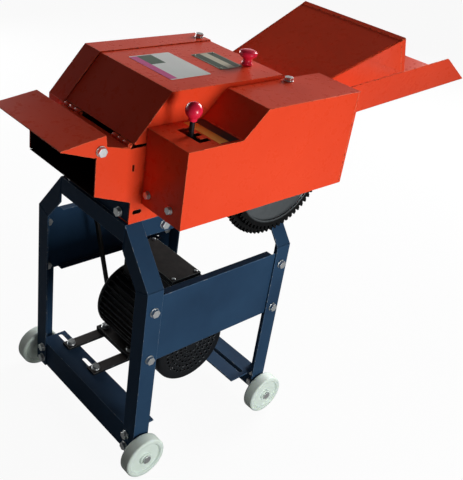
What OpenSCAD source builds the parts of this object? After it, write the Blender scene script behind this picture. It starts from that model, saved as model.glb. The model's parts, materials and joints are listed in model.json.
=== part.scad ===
// Motor-driven chaff cutter on a wheeled angle-iron stand.
// X runs from the discharge end to the feed end, Y from the gear side to the belt side, and Z is up.
// The pieces are drawn about the middle of the stand and then moved so that the origin lies on the floor
// below the middle of the whole machine.

/* [Stand] */
// Length of the stand over the heels of the legs
frame_l = 400; // [390:5:430]
// Width of the stand over the heels of the legs
frame_w = 416; // [410:2:430]
// Width of the top frame and of the cutter body
top_w = 236; // [232:2:240]
// Height of the bend in the legs
bend_h = 476; // [460:2:490]
// Height of the top frame
top_h = 586; // [560:2:640]
// Height of the foot of the legs
foot_h = 28; // [20:1:34]
// Width of the angle iron
angle_w = 40; // [36:1:44]
// Thickness of the angle iron
angle_t = 4; // [3:0.5:5]
// Height of a side panel
panel_h = 165; // [140:5:180]
// Distance of a side panel below the bend
panel_drop = 17; // [12:1:24]
// Thickness of a side panel
panel_t = 2; // [1.5:0.5:3]
// Width of the folded lips of a side panel
panel_lip = 18; // [12:1:24]
// Height of the top of the cross members
cross_h = 98; // [94:1:104]
// Depth of the top flange of the front cross member
front_cross_d = 64; // [60:2:80]
// Depth of the top flange of the rear cross member
rear_cross_d = 90; // [84:2:100]
// Length of the belt-tightening slots
slot_l = 65; // [58:1:66]
// Width of the belt-tightening slots
slot_w = 11; // [10.5:0.5:13]
// Distance of the slots from the leg heels
slot_in = 50; // [46:1:54]
// Distance of the slot's middle from the motor rail
slot_shift = 22.5; // [20:0.5:23]
// Width of a motor rail
rail_w = 30; // [26:1:32]
// Thickness of a motor rail
rail_t = 6; // [5:0.5:8]

/* [Wheels] */
// Diameter of a wheel
wheel_d = 100; // [96:1:104]
// Width of a wheel
wheel_w = 30; // [26:1:34]
// Diameter of the axle bolts
axle_d = 12; // [11:0.5:12.5]
// Distance of the axle from the leg heel
axle_in = 14; // [13.5:0.5:20]
// Gap between wheel and leg, filled by a washer
wheel_gap = 4; // [3:0.5:6]

/* [Motor] */
// Distance of the motor axis from the middle of the stand
motor_x = 12; // [4:1:20]
// Shaft height of the motor
motor_h = 103; // [101:1:108]
// Radius over the cooling fins
motor_r = 97; // [92:1:98]
// Depth of the cooling fins
fin_h = 9; // [6:1:12]
// Fan end of the finned housing
housing_y0 = -88; // [-94:1:-84]
// Drive end of the finned housing
housing_y1 = 112; // [108:1:116]
// Length of the fan cover
fan_cover_l = 42; // [38:1:46]
// Length of the drive end bell
bell_l = 23; // [18:1:26]
// Diameter of the motor shaft
motor_shaft_d = 28; // [24:1:30]
// Foot bolt spacing across the motor
foot_span = 124; // [120:2:130]
// Place of the inner motor rail across the stand
rail_y = 20; // [16:1:24]
// Spacing of the motor rails
rail_span = 110; // [106:2:114]
// Length of the terminal box
box_l = 183; // [170:1:190]
// Width of the terminal box
box_w = 88; // [80:2:92]
// Height of the terminal box above the fins
box_h = 70; // [60:2:76]

/* [Belt drive] */
// Middle plane of the belt
belt_y = 157; // [154:1:158]
// Radius of the driven pulley
big_r = 112; // [104:1:114]
// Radius of the motor pulley
small_r = 45; // [40:1:50]
// Top width of the belt
belt_w = 13; // [11:0.5:14]
// Thickness of the belt
belt_t = 8; // [7:0.5:9]
// Width of the pulleys
pulley_w = 22; // [20:1:24]

/* [Cutter body] */
// Thickness of the side plates
plate_t = 3; // [2.5:0.5:4]
// Front end of the side plates
body_x0 = -274; // [-280:1:-270]
// Rear end of the side plates
body_x1 = 190; // [186:1:194]
// Height of the edge that carries the hood, above the top frame
hood_base_over = 166; // [164:1:170]
// Height of the rear part of the side plates above the top frame
rear_over = 212; // [209:1:214]
// Height of the lower lip of the discharge mouth above the top frame
lip_over = 80; // [74:1:86]
// Thickness of folded sheet pieces
sheet_t = 2; // [1.5:0.5:2.5]
// Width of the feet of the side plates
foot_w = 32; // [28:1:36]

/* [Rotor] */
// Distance of the rotor axis from the middle of the stand
rotor_x = -30; // [-34:1:-28]
// Height of the rotor axis above the top frame
rotor_over = 139; // [136:1:142]
// Radius of the circle that the knife edges run on
knife_r = 104; // [100:1:105]
// Length of the knives
knife_l = 188; // [176:2:190]
// Width of a knife
knife_w = 46; // [40:1:48]
// Thickness of a knife
knife_t = 8; // [6:0.5:9]
// Number of knives
knife_count = 3; // [3:1:3]
// Diameter of the rotor shaft
rotor_shaft_d = 35; // [32:1:36]
// Diameter of the rotor shaft under the sliding pinion
spline_d = 28; // [24:1:30]
// Gap between the knife edge and the shear bar
shear_gap = 1; // [0.6:0.1:2]
// Gap between the knife edge and the chute floor
chute_gap = 8; // [6:1:10]

/* [Feed rollers] */
// Distance of the rollers behind the rotor axis
roller_dx = 165; // [162:1:168]
// Radius of the lower roller
lower_r = 32; // [30:0.5:32.5]
// Radius of the upper roller
upper_r = 36; // [34:0.5:36.5]
// Length of the rollers
roller_l = 204; // [196:2:206]
// Number of ribs on a roller
rib_count = 10; // [8:1:12]
// Height of the ribs
rib_h = 6; // [4:0.5:7]
// Diameter of the roller shafts
roller_shaft_d = 25; // [22:1:26]
// Width of the sliding bearing blocks
block_w = 40; // [38:1:42]

/* [Gears] */
// Module of all gears
gear_m = 4; // [4:0.25:4]
// Teeth of the large gear on the lower roller
slow_gear_n = 72; // [72:4:72]
// Teeth of the small pinion
slow_pinion_n = 16; // [16:4:16]
// Teeth of the large pinion
fast_pinion_n = 24; // [24:4:24]
// Teeth of the two roller gears
roller_gear_n = 18; // [18:1:18]
// Width of the gears and pinions
gear_w = 11; // [10:0.5:11.5]
// Inner face of the large gear, from the middle of the machine
gear_y = -178; // [-180:1:-177]
// Width of the two roller gears
roller_gear_w = 15; // [12:1:16]
// Free play of the sliding pinion between the gears
shift_play = 1.5; // [1.25:0.25:1.5]
// Play between the teeth
backlash = 0.5; // [0.4:0.05:0.8]

/* [Shift lever] */
// Distance of the lever in front of the rotor axis
lever_dx = 84; // [82:1:86]
// Height of the lever pivot below the rotor axis
lever_drop = 55; // [53:1:57]
// Diameter of the lever rod
lever_d = 10; // [9:0.5:11]
// Radius of the ball knob
ball_r = 16; // [14:1:18]
// Height of the ball knob above the lever gate
ball_h = 49; // [46:1:56]
// Throw of the lever into a notch of the gate
notch_l = 16; // [14:1:17]
// Diameter of the shift rail
shift_rail_d = 12; // [11:0.5:13]

/* [Gear guard] */
// Front end of the gear guard
guard_x0 = -166; // [-170:1:-164]
// Rear end of the gear guard
guard_x1 = 290; // [288:1:296]
// Outer face of the gear guard
guard_y = -238; // [-242:1:-237]
// Height of the gear guard's lower edge above the top frame
guard_over0 = 40; // [30:1:46]
// Height of the guard's front bolts above its lower edge
guard_bolt_up = 28; // [26:1:30]
// Height of the shelf with the lever gate above the top frame
shelf_over = 198; // [197:1:202]
// Rear end of the shelf
shelf_x1 = -35; // [-38:1:-32]
// Height of the guard's top above the top frame
guard_over1 = 251; // [248:1:256]
// Front end of the guard's top
guard_top_x0 = 21; // [16:1:26]

/* [Hood and flap] */
// Height of the hood above the top frame
hood_over = 260; // [258:1:264]
// Front end of the hood's flat top
hood_x0 = -116; // [-122:1:-112]
// Rear end of the hood
hood_x1 = 175; // [173:1:178]
// Distance of the hinge axis in front of the middle of the stand
hinge_x = -197; // [-200:1:-196]
// Diameter of a hinge barrel
barrel_d = 10; // [9:0.5:10.5]
// Diameter of a hinge pin
hinge_pin_d = 6; // [5:0.5:6.5]
// Length of a hinge
hinge_l = 56; // [44:1:58]
// Front end of the discharge flap
flap_x0 = -348; // [-360:1:-340]
// Rear end of the discharge flap
flap_x1 = -257; // [-260:1:-255]
// Distance of the flap pivot in front of the middle of the stand
flap_pivot_x = -267; // [-268:1:-265]
// Height of the flap pivot above the top frame
flap_pivot_over = 171; // [170:1:172]
// Height of the flap above its pivot
flap_rise = 26; // [25:1:28]
// Slope of the flap
flap_slope = 8.7; // [6:0.1:12]

/* [Belt guard] */
// Front end of the belt guard
belt_guard_x0 = -199; // [-204:1:-198]
// Rear end of the belt guard
belt_guard_x1 = 178; // [174:1:184]
// Outer face of the belt guard
belt_guard_y = 174; // [173:1:178]
// Height of the belt guard above the top frame
belt_guard_over1 = 262; // [260:1:266]
// Height of the belt guard's lower edge above the top frame
belt_guard_over0 = 10; // [6:1:18]
// Top of the belt guard's upright front, above the top frame
belt_guard_over2 = 167; // [162:1:172]
// Front end of the belt guard's flat top
belt_guard_top_x0 = -118; // [-123:1:-117]

/* [Feed end] */
// Height of the feed floor at the throat, above the top frame
feed_over = 104; // [100:0.5:104.5]
// Half width of the feed floor at the throat
feed_half_w0 = 96; // [92:1:97]
// Half width of the feed floor at its outer end
feed_half_w1 = 151; // [140:1:160]
// Outer end of the feed floor
feed_x1 = 848; // [820:2:870]
// Outer end of the top of the trough walls
wall_x1 = 722; // [700:2:740]
// Rise of the feed floor
feed_rise = 7.25; // [6:0.25:7.5]
// Height of the trough walls
wall_h = 85; // [82:1:86]
// Outward lean of the trough walls
wall_lean = 26; // [24:1:27]
// Outer end of the feed cover
cover_x1 = 523; // [500:1:540]
// Height of the feed cover's outer end above the top frame
cover_over1 = 321; // [304:1:329]
// Half width of the feed cover at its outer end
cover_half_w1 = 160; // [156:1:164]
// Width of the hem round the end of the feed cover
hem_w = 12; // [8:1:16]

/* [Fasteners and fits] */
// Diameter of the frame bolts
bolt_d = 10; // [8:0.5:10]
// Running clearance of shafts and pins, on the radius
running = 0.05; // [0.03:0.01:0.1]
// Clearance of sliding pieces
sliding = 0.3; // [0.2:0.05:0.5]
// Clearance of bolts in their holes, on the radius
bolt_play = 0.5; // [0.3:0.1:0.8]

/* [Hidden] */
$fn = 64;

navy = [0.15, 0.24, 0.35];
orange = [0.91, 0.30, 0.16];
steel = [0.62, 0.64, 0.66];
dark = [0.10, 0.10, 0.11];
nylon = [0.86, 0.90, 0.85];
red = [0.80, 0.10, 0.16];

hx = frame_l / 2;
hy = frame_w / 2;
ty = top_w / 2;
slant = atan2(hy - ty, top_h - bend_h);
wheel_r = wheel_d / 2;
washer_t = 2;
hood_base_h = top_h + hood_base_over;
rear_h = top_h + rear_over;
lip_h = top_h + lip_over;
rotor_h = top_h + rotor_over;
guard_h0 = top_h + guard_over0;
shelf_h = top_h + shelf_over;
guard_h1 = top_h + guard_over1;
hood_h = top_h + hood_over;
flap_pivot_h = top_h + flap_pivot_over;
belt_guard_h1 = top_h + belt_guard_over1;
belt_guard_h0 = top_h + belt_guard_over0;
belt_guard_h2 = top_h + belt_guard_over2;
feed_h = top_h + feed_over;
cover_h1 = top_h + cover_over1;
panel_h1 = bend_h - panel_drop;
panel_bolt_h = [panel_h1 - 31, panel_h1 - panel_h + 13];
cross_end = hy - angle_t - 14;
cross_bolt_y = cross_end - 10;
cross_bolt_h = [foot_h + 20, cross_h - 17];
rail_ys = [rail_y, rail_y + rail_span];
rail_h1 = cross_h + rail_t;
motor_z = rail_h1 + motor_h;
foot_xs = [motor_x - foot_span / 2, motor_x + foot_span / 2];
foot_t = 12;
plate_in = ty - plate_t;
roller_x = rotor_x + roller_dx;
gear_centres = gear_m * (slow_gear_n + slow_pinion_n) / 2;
fast_gear_n = slow_gear_n + slow_pinion_n - fast_pinion_n;
lower_h = rotor_h - sqrt(pow(gear_centres, 2) - pow(roller_dx, 2));
upper_h = lower_h + gear_m * roller_gear_n;
mesh_angle = atan2(rotor_h - lower_h, -roller_dx);
shift_travel = gear_w + shift_play;
slow_gear_y = gear_y - gear_w;
fast_gear_y = slow_gear_y - shift_play - gear_w;
slow_pinion_y = gear_y + shift_play;
fast_pinion_y = fast_gear_y - shift_play - gear_w;
fork_w = 6;
fork_y = (slow_pinion_y + fast_pinion_y + gear_w) / 2;
lever_x = rotor_x - lever_dx;
lever_y = fork_y + fork_w / 2 + 0.75 * lever_d;
lever_h = rotor_h - lever_drop;
gate_rise = shelf_h - lever_h;
gate_throw = gate_rise * shift_travel / lever_drop;
gate_w = lever_d + 3;
hinge_h = hood_base_h - 0.5;
barrel_r = barrel_d / 2;
chute_r = knife_r + chute_gap;
cover_x0 = body_x1;
cover_h0 = feed_h + wall_h + 7;
cover_half_w0 = feed_half_w0 + wall_lean + 1;
feed_slope = tan(feed_rise);
mid_x = (flap_x0 + feed_x1) / 2;

function unit(v) = v / norm(v);
function inward(a, b) = let (d = unit(b - a)) [-d[1], d[0]];
// Outline moved inwards by t; the points run anticlockwise.
function inset(pts, t) =
    let (n = len(pts))
    [for (i = [0:n - 1])
        let (u = inward(pts[(i + n - 1) % n], pts[i]), v = inward(pts[i], pts[(i + 1) % n]))
        pts[i] + t * (u + v) / (1 + u * v)];

// An outline in X and Z, drawn across the machine from y0 to y1.
module across(y0, y1) {
    translate([0, y1, 0]) rotate([90, 0, 0]) linear_extrude(y1 - y0) children();
}

// A round bar across the machine.
module bar_across(d, y0, y1, x, z) {
    translate([x, y1, z]) rotate([90, 0, 0]) cylinder(d = d, h = y1 - y0);
}

// Hexagon bolt with washer and nut: the washer stands on z = 0 and the nut presses on z = -grip.
module hex_bolt(grip, d = bolt_d) {
    translate([0, 0, washer_t]) cylinder(d = 1.96 * d, h = 0.65 * d, $fn = 6);
    cylinder(d = 2.1 * d, h = washer_t);
    translate([0, 0, -grip - 0.9 * d]) cylinder(d = d, h = grip + 0.9 * d + washer_t);
    translate([0, 0, -grip - 0.8 * d]) cylinder(d = 1.96 * d, h = 0.8 * d, $fn = 6);
}

// Sheet with four corners, anticlockwise seen from its outer side, and its thickness to the inner side.
module sheet_panel(p, t) {
    n = unit(cross(p[1] - p[0], p[3] - p[0]));
    inner = [for (v = p) v - t * n];
    polyhedron(points = concat(p, inner),
        faces = [[2, 1, 0], [3, 2, 0], [4, 5, 6], [4, 6, 7],
            [0, 1, 5, 4], [1, 2, 6, 5], [2, 3, 7, 6], [3, 0, 4, 7]]);
}

// Stand
module at_legs() {
    for (sx = [0, 1], sy = [0, 1]) mirror([sx, 0, 0]) mirror([0, sy, 0]) children();
}

// Half profile of a bent leg in Y and Z, from its outer line to a line that lies "w" further in.
function leg_profile(w) =
    let (along = [sin(slant), cos(slant)], into = [cos(slant), -sin(slant)],
        start = [-hy, bend_h] + w * into,
        knee = start + along * (w - hy - start[0]) / along[0],
        head = start + along * (-ty - start[0]) / along[0])
    [[-hy, foot_h], [w - hy, foot_h], knee, head, [-ty, top_h], [-hy, bend_h]];

module leg_strip(w, x0, x1) {
    translate([x0, 0, 0]) rotate([90, 0, 90]) linear_extrude(x1 - x0) polygon(leg_profile(w));
}

module leg() {
    color(navy) difference() {
        union() {
            leg_strip(angle_w, -hx, -hx + angle_t);
            leg_strip(angle_t, -hx, -hx + angle_w);
        }
        for (z = panel_bolt_h)
            bar_across(bolt_d + 2 * bolt_play, -hy - 1, -hy + angle_t + 1, -hx + angle_w / 2, z);
        bar_across(axle_d + 2 * bolt_play, -hy - 1, -hy + angle_t + 1, -hx + axle_in, wheel_r);
        for (z = cross_bolt_h)
            translate([-hx - 1, -cross_bolt_y, z]) rotate([0, 90, 0])
                cylinder(d = bolt_d + 2 * bolt_play, h = angle_t + 2);
    }
}

module near_front_leg() leg();
module near_rear_leg() mirror([1, 0, 0]) leg();
module far_front_leg() mirror([0, 1, 0]) leg();
module far_rear_leg() mirror([1, 0, 0]) mirror([0, 1, 0]) leg();

foot_bolt_xs = [-hx + angle_w, hx - 1.5 * angle_w];
foot_bolt_y = plate_in - foot_w / 2;
frame_bolt_x = -hx + 2.45 * angle_w;
frame_bolt_h = top_h - 0.55 * angle_w;

apron_x = -hx + 8;
apron_bolt_y = plate_in - 29;
apron_bolt_h = top_h + 14;

// Hole through the apron and the flange of a side plate behind it.
module apron_hole(s) {
    translate([apron_x - 1, s * apron_bolt_y, apron_bolt_h]) rotate([0, 90, 0])
        cylinder(d = bolt_d + 2 * bolt_play, h = sheet_t + plate_t + 2);
}

// Welded frame of angle iron, with a plate below the discharge mouth standing on its front end.
module top_frame() {
    tongue = plate_in - foot_w - 6;
    color(navy) {
        difference() {
            union() {
                translate([apron_x, -plate_in, top_h + plate_t]) cube([sheet_t, 2 * plate_in, 45]);
                translate([apron_x, -tongue, top_h - 1]) cube([sheet_t, 2 * tongue, plate_t + 2]);
            }
            for (s = [-1, 1]) apron_hole(s);
        }
        difference() {
            translate([-hx, -ty, top_h - angle_w]) cube([frame_l, top_w, angle_w]);
            translate([-hx + angle_t, -ty + angle_t, top_h - angle_w - 1])
                cube([frame_l - 2 * angle_t, top_w - 2 * angle_t, angle_w - angle_t + 1]);
            translate([-hx + angle_w, -ty + angle_w, top_h - angle_w])
                cube([frame_l - 2 * angle_w, top_w - 2 * angle_w, 2 * angle_w]);
            for (x = foot_bolt_xs, s = [-1, 1])
                translate([x, s * foot_bolt_y, top_h - 2 * angle_t])
                    cylinder(d = bolt_d + 2 * bolt_play, h = 3 * angle_t);
            bar_across(bolt_d + 2 * bolt_play, -ty - 1, -ty + angle_t + 1, frame_bolt_x, frame_bolt_h);
        }
    }
}

module slot(l) {
    for (s = [-1, 1])
        translate([0, s * (l - slot_w) / 2, -2 * angle_t]) cylinder(d = slot_w, h = 3 * angle_t);
    translate([-slot_w / 2, (slot_w - l) / 2, -2 * angle_t]) cube([slot_w, l - slot_w, 3 * angle_t]);
}

// Folded channel between two legs: an upright web behind the leg flanges and a slotted top flange.
module cross_member(flange) {
    color(navy) difference() {
        union() {
            translate([-hx + angle_t, -cross_end, foot_h]) cube([angle_t, 2 * cross_end, cross_h - foot_h]);
            translate([-hx + angle_t, -cross_end, cross_h - angle_t]) cube([flange, 2 * cross_end, angle_t]);
        }
        for (y = rail_ys) translate([-hx + slot_in, y + slot_shift, cross_h]) slot(slot_l);
        for (z = cross_bolt_h, s = [-1, 1])
            translate([-hx, s * cross_bolt_y, z]) rotate([0, 90, 0])
                cylinder(d = bolt_d + 2 * bolt_play, h = 3 * angle_t);
    }
}

module front_cross_member() cross_member(front_cross_d);

// The rear one has one more, longer slot on the gear side.
module rear_cross_member() {
    color(navy) difference() {
        mirror([1, 0, 0]) cross_member(rear_cross_d);
        translate([hx - slot_in, -0.54 * hy, cross_h]) slot(2.09 * slot_l);
    }
}

module side_panel() {
    panel_l = frame_l - 2 * angle_t - 12;
    color(navy) difference() {
        union() {
            translate([-panel_l / 2, -hy + angle_t, panel_h1 - panel_h]) cube([panel_l, panel_t, panel_h]);
            for (z = [panel_h1 - panel_t, panel_h1 - panel_h])
                translate([-panel_l / 2 + angle_w, -hy + angle_t, z])
                    cube([panel_l - 2 * angle_w, panel_lip, panel_t]);
        }
        for (z = panel_bolt_h, s = [-1, 1])
            bar_across(bolt_d + 2 * bolt_play, -hy, -hy + angle_t + panel_t + 1, s * (hx - angle_w / 2), z);
    }
}

module near_side_panel() side_panel();
module far_side_panel() mirror([0, 1, 0]) side_panel();

module motor_rails() {
    rail_l = 2 * (hx - slot_in) + 30;
    color(dark) for (y = rail_ys) difference() {
        translate([-rail_l / 2, y - rail_w / 2, cross_h]) cube([rail_l, rail_w, rail_t]);
        for (x = concat(foot_xs, [-hx + slot_in, hx - slot_in]))
            translate([x, y, cross_h - 1]) cylinder(d = bolt_d + 2 * bolt_play, h = rail_t + 2);
    }
}

module frame_bolts() {
    color(steel) at_legs() {
        for (z = panel_bolt_h)
            translate([-hx + angle_w / 2, -hy, z]) rotate([90, 0, 0]) hex_bolt(angle_t + panel_t);
        for (z = cross_bolt_h)
            translate([-hx, -cross_bolt_y, z]) rotate([0, -90, 0]) hex_bolt(2 * angle_t);
    }
    color(steel) for (s = [-1, 1], y = rail_ys)
        translate([s * (hx - slot_in), y, rail_h1]) hex_bolt(rail_t + angle_t);
    color(steel) translate([frame_bolt_x, -ty, frame_bolt_h]) rotate([90, 0, 0]) hex_bolt(angle_t);
}

// Wheels
module wheel_axles() {
    inner_y = -hy + angle_t;
    color(steel) at_legs() translate([-hx + axle_in, 0, wheel_r]) {
        bar_across(axle_d, -hy - wheel_gap - wheel_w - 1, inner_y + 11, 0, 0);
        bar_across(axle_d + 8, -hy - wheel_gap - wheel_w - 4, -hy - wheel_gap - wheel_w - 1, 0, 0);
        translate([0, inner_y + 10, 0]) rotate([90, 30, 0]) cylinder(d = axle_d + 6, h = 10, $fn = 6);
        bar_across(axle_d + 12, -hy - wheel_gap + sliding, -hy, 0, 0);
    }
}

wheel_y0 = -hy - wheel_gap - wheel_w;

// Nylon wheel: rounded tread, a shallow dish on both faces and a hub round the axle.
module wheel() {
    r = wheel_r;
    w = wheel_w / 2;
    round_r = 5;
    dish = 5;
    color(nylon) translate([-hx + axle_in, wheel_y0 + w, wheel_r]) rotate([90, 0, 0]) rotate_extrude()
        difference() {
            union() {
                translate([0, -w + round_r]) square([r, 2 * (w - round_r)]);
                translate([0, -w]) square([r - round_r, 2 * w]);
                for (s = [-1, 1]) translate([r - round_r, s * (w - round_r)]) circle(round_r);
            }
            translate([-1, -w - 1]) square([axle_d / 2 + running + 1, 2 * w + 2]);
            for (s = [0, 1]) mirror([0, s])
                polygon([[axle_d / 2 + 8, w + 1], [axle_d / 2 + 9, w - dish], [r - 13, w - dish],
                    [r - 10, w + 1]]);
        }
}

module near_front_wheel() wheel();
module near_rear_wheel() mirror([1, 0, 0]) wheel();
module far_front_wheel() mirror([0, 1, 0]) wheel();
module far_rear_wheel() mirror([1, 0, 0]) mirror([0, 1, 0]) wheel();

// Motor
module motor_housing() {
    core_r = motor_r - fin_h;
    fin_count = 40;
    fin_t = 3;
    color(dark) difference() {
        union() {
            across(housing_y0, housing_y1) translate([motor_x, motor_z]) {
                circle(core_r);
                for (i = [0:fin_count - 1]) rotate(i * 360 / fin_count)
                    translate([0, -fin_t / 2]) square([motor_r, fin_t]);
            }
            for (x = foot_xs)
                translate([x - 17, rail_ys[0] - 15, rail_h1]) cube([34, rail_span + 30, foot_t]);
            for (y = rail_ys) across(y - 6, y + 6)
                polygon([[foot_xs[0] - 10, rail_h1 + 1], [foot_xs[1] + 10, rail_h1 + 1],
                    [motor_x + 60, motor_z - 60], [motor_x - 60, motor_z - 60]]);
        }
        bar_across(motor_shaft_d + 2 * running, housing_y0 - 1, housing_y1 + 1, motor_x, motor_z);
        translate([motor_x - box_w / 2, box_y0, motor_z + core_r + 1])
            cube([box_w, box_l, motor_r]);
        translate([motor_x - foot_span, housing_y1, rail_h1 + foot_t]) cube([2 * foot_span, 60, 2 * motor_h]);
        for (x = foot_xs, y = rail_ys) translate([x, y, rail_h1 - 1]) {
            cylinder(d = bolt_d + 2 * bolt_play, h = foot_t + 2);
            translate([0, 0, foot_t + 1]) cylinder(d = 2.4 * bolt_d, h = 40);
        }
    }
}

box_y0 = housing_y0 + 2;

module motor_end_bell() {
    color(dark) translate([motor_x, housing_y1 + bell_l, motor_z]) rotate([90, 0, 0]) difference() {
        rotate_extrude() polygon([[motor_shaft_d / 2 + running, 0], [34, 0], [44, 5], [motor_r - 12, 9],
            [motor_r, 14], [motor_r, bell_l], [motor_shaft_d / 2 + running, bell_l]]);
        translate([-foot_span, -2 * motor_r, -1])
            cube([2 * foot_span, 2 * motor_r - motor_h + foot_t + 2, 2 * bell_l]);
    }
}

// Pressed cover with a rounded rim and rings of air holes in its end.
module motor_fan_cover() {
    wall = 2;
    rim_r = 10;
    color(dark) translate([motor_x, housing_y0, motor_z]) rotate([90, 0, 0]) difference() {
        rotate_extrude() difference() {
            union() {
                square([motor_r, fan_cover_l - rim_r]);
                square([motor_r - rim_r, fan_cover_l]);
                translate([motor_r - rim_r, fan_cover_l - rim_r]) circle(rim_r);
            }
            translate([-motor_r, -motor_r]) square([3 * motor_r, motor_r]);
            translate([-1, -1]) square([motor_r - wall + 1, fan_cover_l - rim_r + 1]);
            translate([-1, -1]) square([motor_r - rim_r + 1, fan_cover_l - wall + 1]);
            translate([motor_r - rim_r, fan_cover_l - rim_r]) circle(rim_r - wall);
        }
        for (ring = [2:6]) for (i = [0:6 * ring - 1]) rotate(i * 60 / ring)
            translate([13 * ring - 8, 0, fan_cover_l - 2 * wall]) cylinder(d = 7, h = 3 * wall, $fn = 16);
    }
}

module motor_terminal_box() {
    box_z = motor_z + motor_r - fin_h + 1 + sliding;
    color(dark) translate([motor_x - box_w / 2 + sliding, box_y0 + sliding, box_z]) {
        w = box_w - 2 * sliding;
        l = box_l - 2 * sliding;
        h = fin_h + box_h - 12;
        linear_extrude(h) square([w, l]);
        translate([-2, -2, h]) linear_extrude(3) square([w + 4, l + 4]);
        translate([2, 2, h + 3]) linear_extrude(9) square([w - 4, l - 4]);
        translate([w - 1, l / 2, h / 2 + 8]) rotate([0, 90, 0]) cylinder(d = 22, h = 12);
        translate([w + 11, l / 2, h / 2 + 8]) rotate([0, 90, 0]) cylinder(d = 26, h = 10, $fn = 6);
    }
}

module motor_shaft() {
    color(steel) {
        bar_across(motor_shaft_d, housing_y0 - 24, housing_y1 + bell_l, motor_x, motor_z);
        bar_across(motor_shaft_d - 4, housing_y1, belt_y + pulley_w / 2 + 3, motor_x, motor_z);
    }
}

module motor_fan() {
    hub_r = 26;
    y1 = housing_y0 - 8;
    color(dark) difference() {
        union() {
            bar_across(2 * hub_r, y1 - 20, y1, motor_x, motor_z);
            bar_across(2 * (motor_r - 14), y1 - 3, y1, motor_x, motor_z);
            across(y1 - 20, y1) translate([motor_x, motor_z])
                for (i = [0:7]) rotate(i * 45) translate([hub_r - 2, -1.5]) square([motor_r - 16 - hub_r, 3]);
        }
        bar_across(motor_shaft_d, y1 - 30, y1 + 1, motor_x, motor_z);
    }
}

// V-pulley section in radius and width, with the groove for the belt.
module pulley_section(r, bore) {
    groove_in = r - 1 - belt_t - 3;
    top = belt_w / 2 + sliding + 0.35;
    bottom = top - (r - groove_in) * tan(17);
    difference() {
        translate([bore, -pulley_w / 2]) square([r - bore, pulley_w]);
        polygon([[r + 1, top], [r, top], [groove_in, bottom], [groove_in, -bottom], [r, -top],
            [r + 1, -top]]);
    }
}

module motor_pulley() {
    color(steel) translate([motor_x, belt_y, motor_z]) rotate([90, 0, 0])
        rotate_extrude() pulley_section(small_r, motor_shaft_d / 2 - 2);
}

// Driven pulley: grooved rim, thin web with round openings and a hub.
module rotor_pulley() {
    bore = rotor_shaft_d / 2 - 2;
    rim = big_r - 26;
    hub = bore + 16;
    hole_d = rim - hub - 14;
    color(dark) translate([rotor_x, belt_y, rotor_h]) rotate([90, 0, 0]) difference() {
        rotate_extrude() difference() {
            pulley_section(big_r, bore);
            for (s = [0, 1]) mirror([0, s]) translate([hub, 4]) square([rim - hub, pulley_w]);
        }
        for (i = [0:4]) rotate(i * 72) translate([(rim + hub) / 2, 0, -pulley_w])
            cylinder(d = hole_d, h = 2 * pulley_w);
    }
}

belt_in_big = big_r - 1 - belt_t;
belt_in_small = small_r - 1 - belt_t;
belt_span = norm([motor_x - rotor_x, motor_z - rotor_h]);
belt_wrap = asin((belt_in_big - belt_in_small) / belt_span);
belt_turn = atan2(motor_z - rotor_h, motor_x - rotor_x);

// Belt section on the radius r, smaller by "less" all round.
module belt_section(r, less = 0) {
    low = belt_w / 2 - belt_t * tan(17) - less;
    high = belt_w / 2 - less;
    polygon([[r + less, -low], [r + belt_t - less, -high], [r + belt_t - less, high], [r + less, low]]);
}

// Two arcs in the pulley grooves, and two straight runs whose ends reach into them.
module drive_belt() {
    run = belt_span * cos(belt_wrap);
    lap = 2;
    color(dark) translate([rotor_x, belt_y, rotor_h]) rotate([90, 0, 0]) rotate(belt_turn) {
        rotate(90 - belt_wrap) rotate_extrude(angle = 180 + 2 * belt_wrap) belt_section(belt_in_big);
        translate([belt_span, 0]) rotate(belt_wrap - 90) rotate_extrude(angle = 180 - 2 * belt_wrap)
            belt_section(belt_in_small);
        for (s = [0, 1]) mirror([0, s, 0]) rotate(90 - belt_wrap) translate([0, lap, 0]) rotate([90, 0, 0])
            linear_extrude(run + 2 * lap) belt_section(belt_in_big, 0.15);
    }
}

module motor_bolts() {
    color(steel) for (x = foot_xs, y = rail_ys)
        translate([x, y, rail_h1 + foot_t]) hex_bolt(foot_t + rail_t);
}

// Cutter body
block_h = block_w;
block_out = 5;
block_in = 4;
bearing_bolt = 36;
bearing_l = 16;
roller_bearing_l = 12;
roller_bearing_bolt = 28;

function plate_outline() = [[-hx + 7, top_h], [body_x1, top_h], [body_x1, rear_h - sheet_t],
    [rotor_x + knife_r - 4, rear_h - sheet_t], [rotor_x + knife_r - 4, hood_base_h],
    [hinge_x - 2, hood_base_h - 5], [flap_x1 + 2, hood_base_h + 11],
    [body_x0, hood_base_h + 5], [body_x0, lip_h], [-hx + 8, top_h + 48]];

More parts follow.
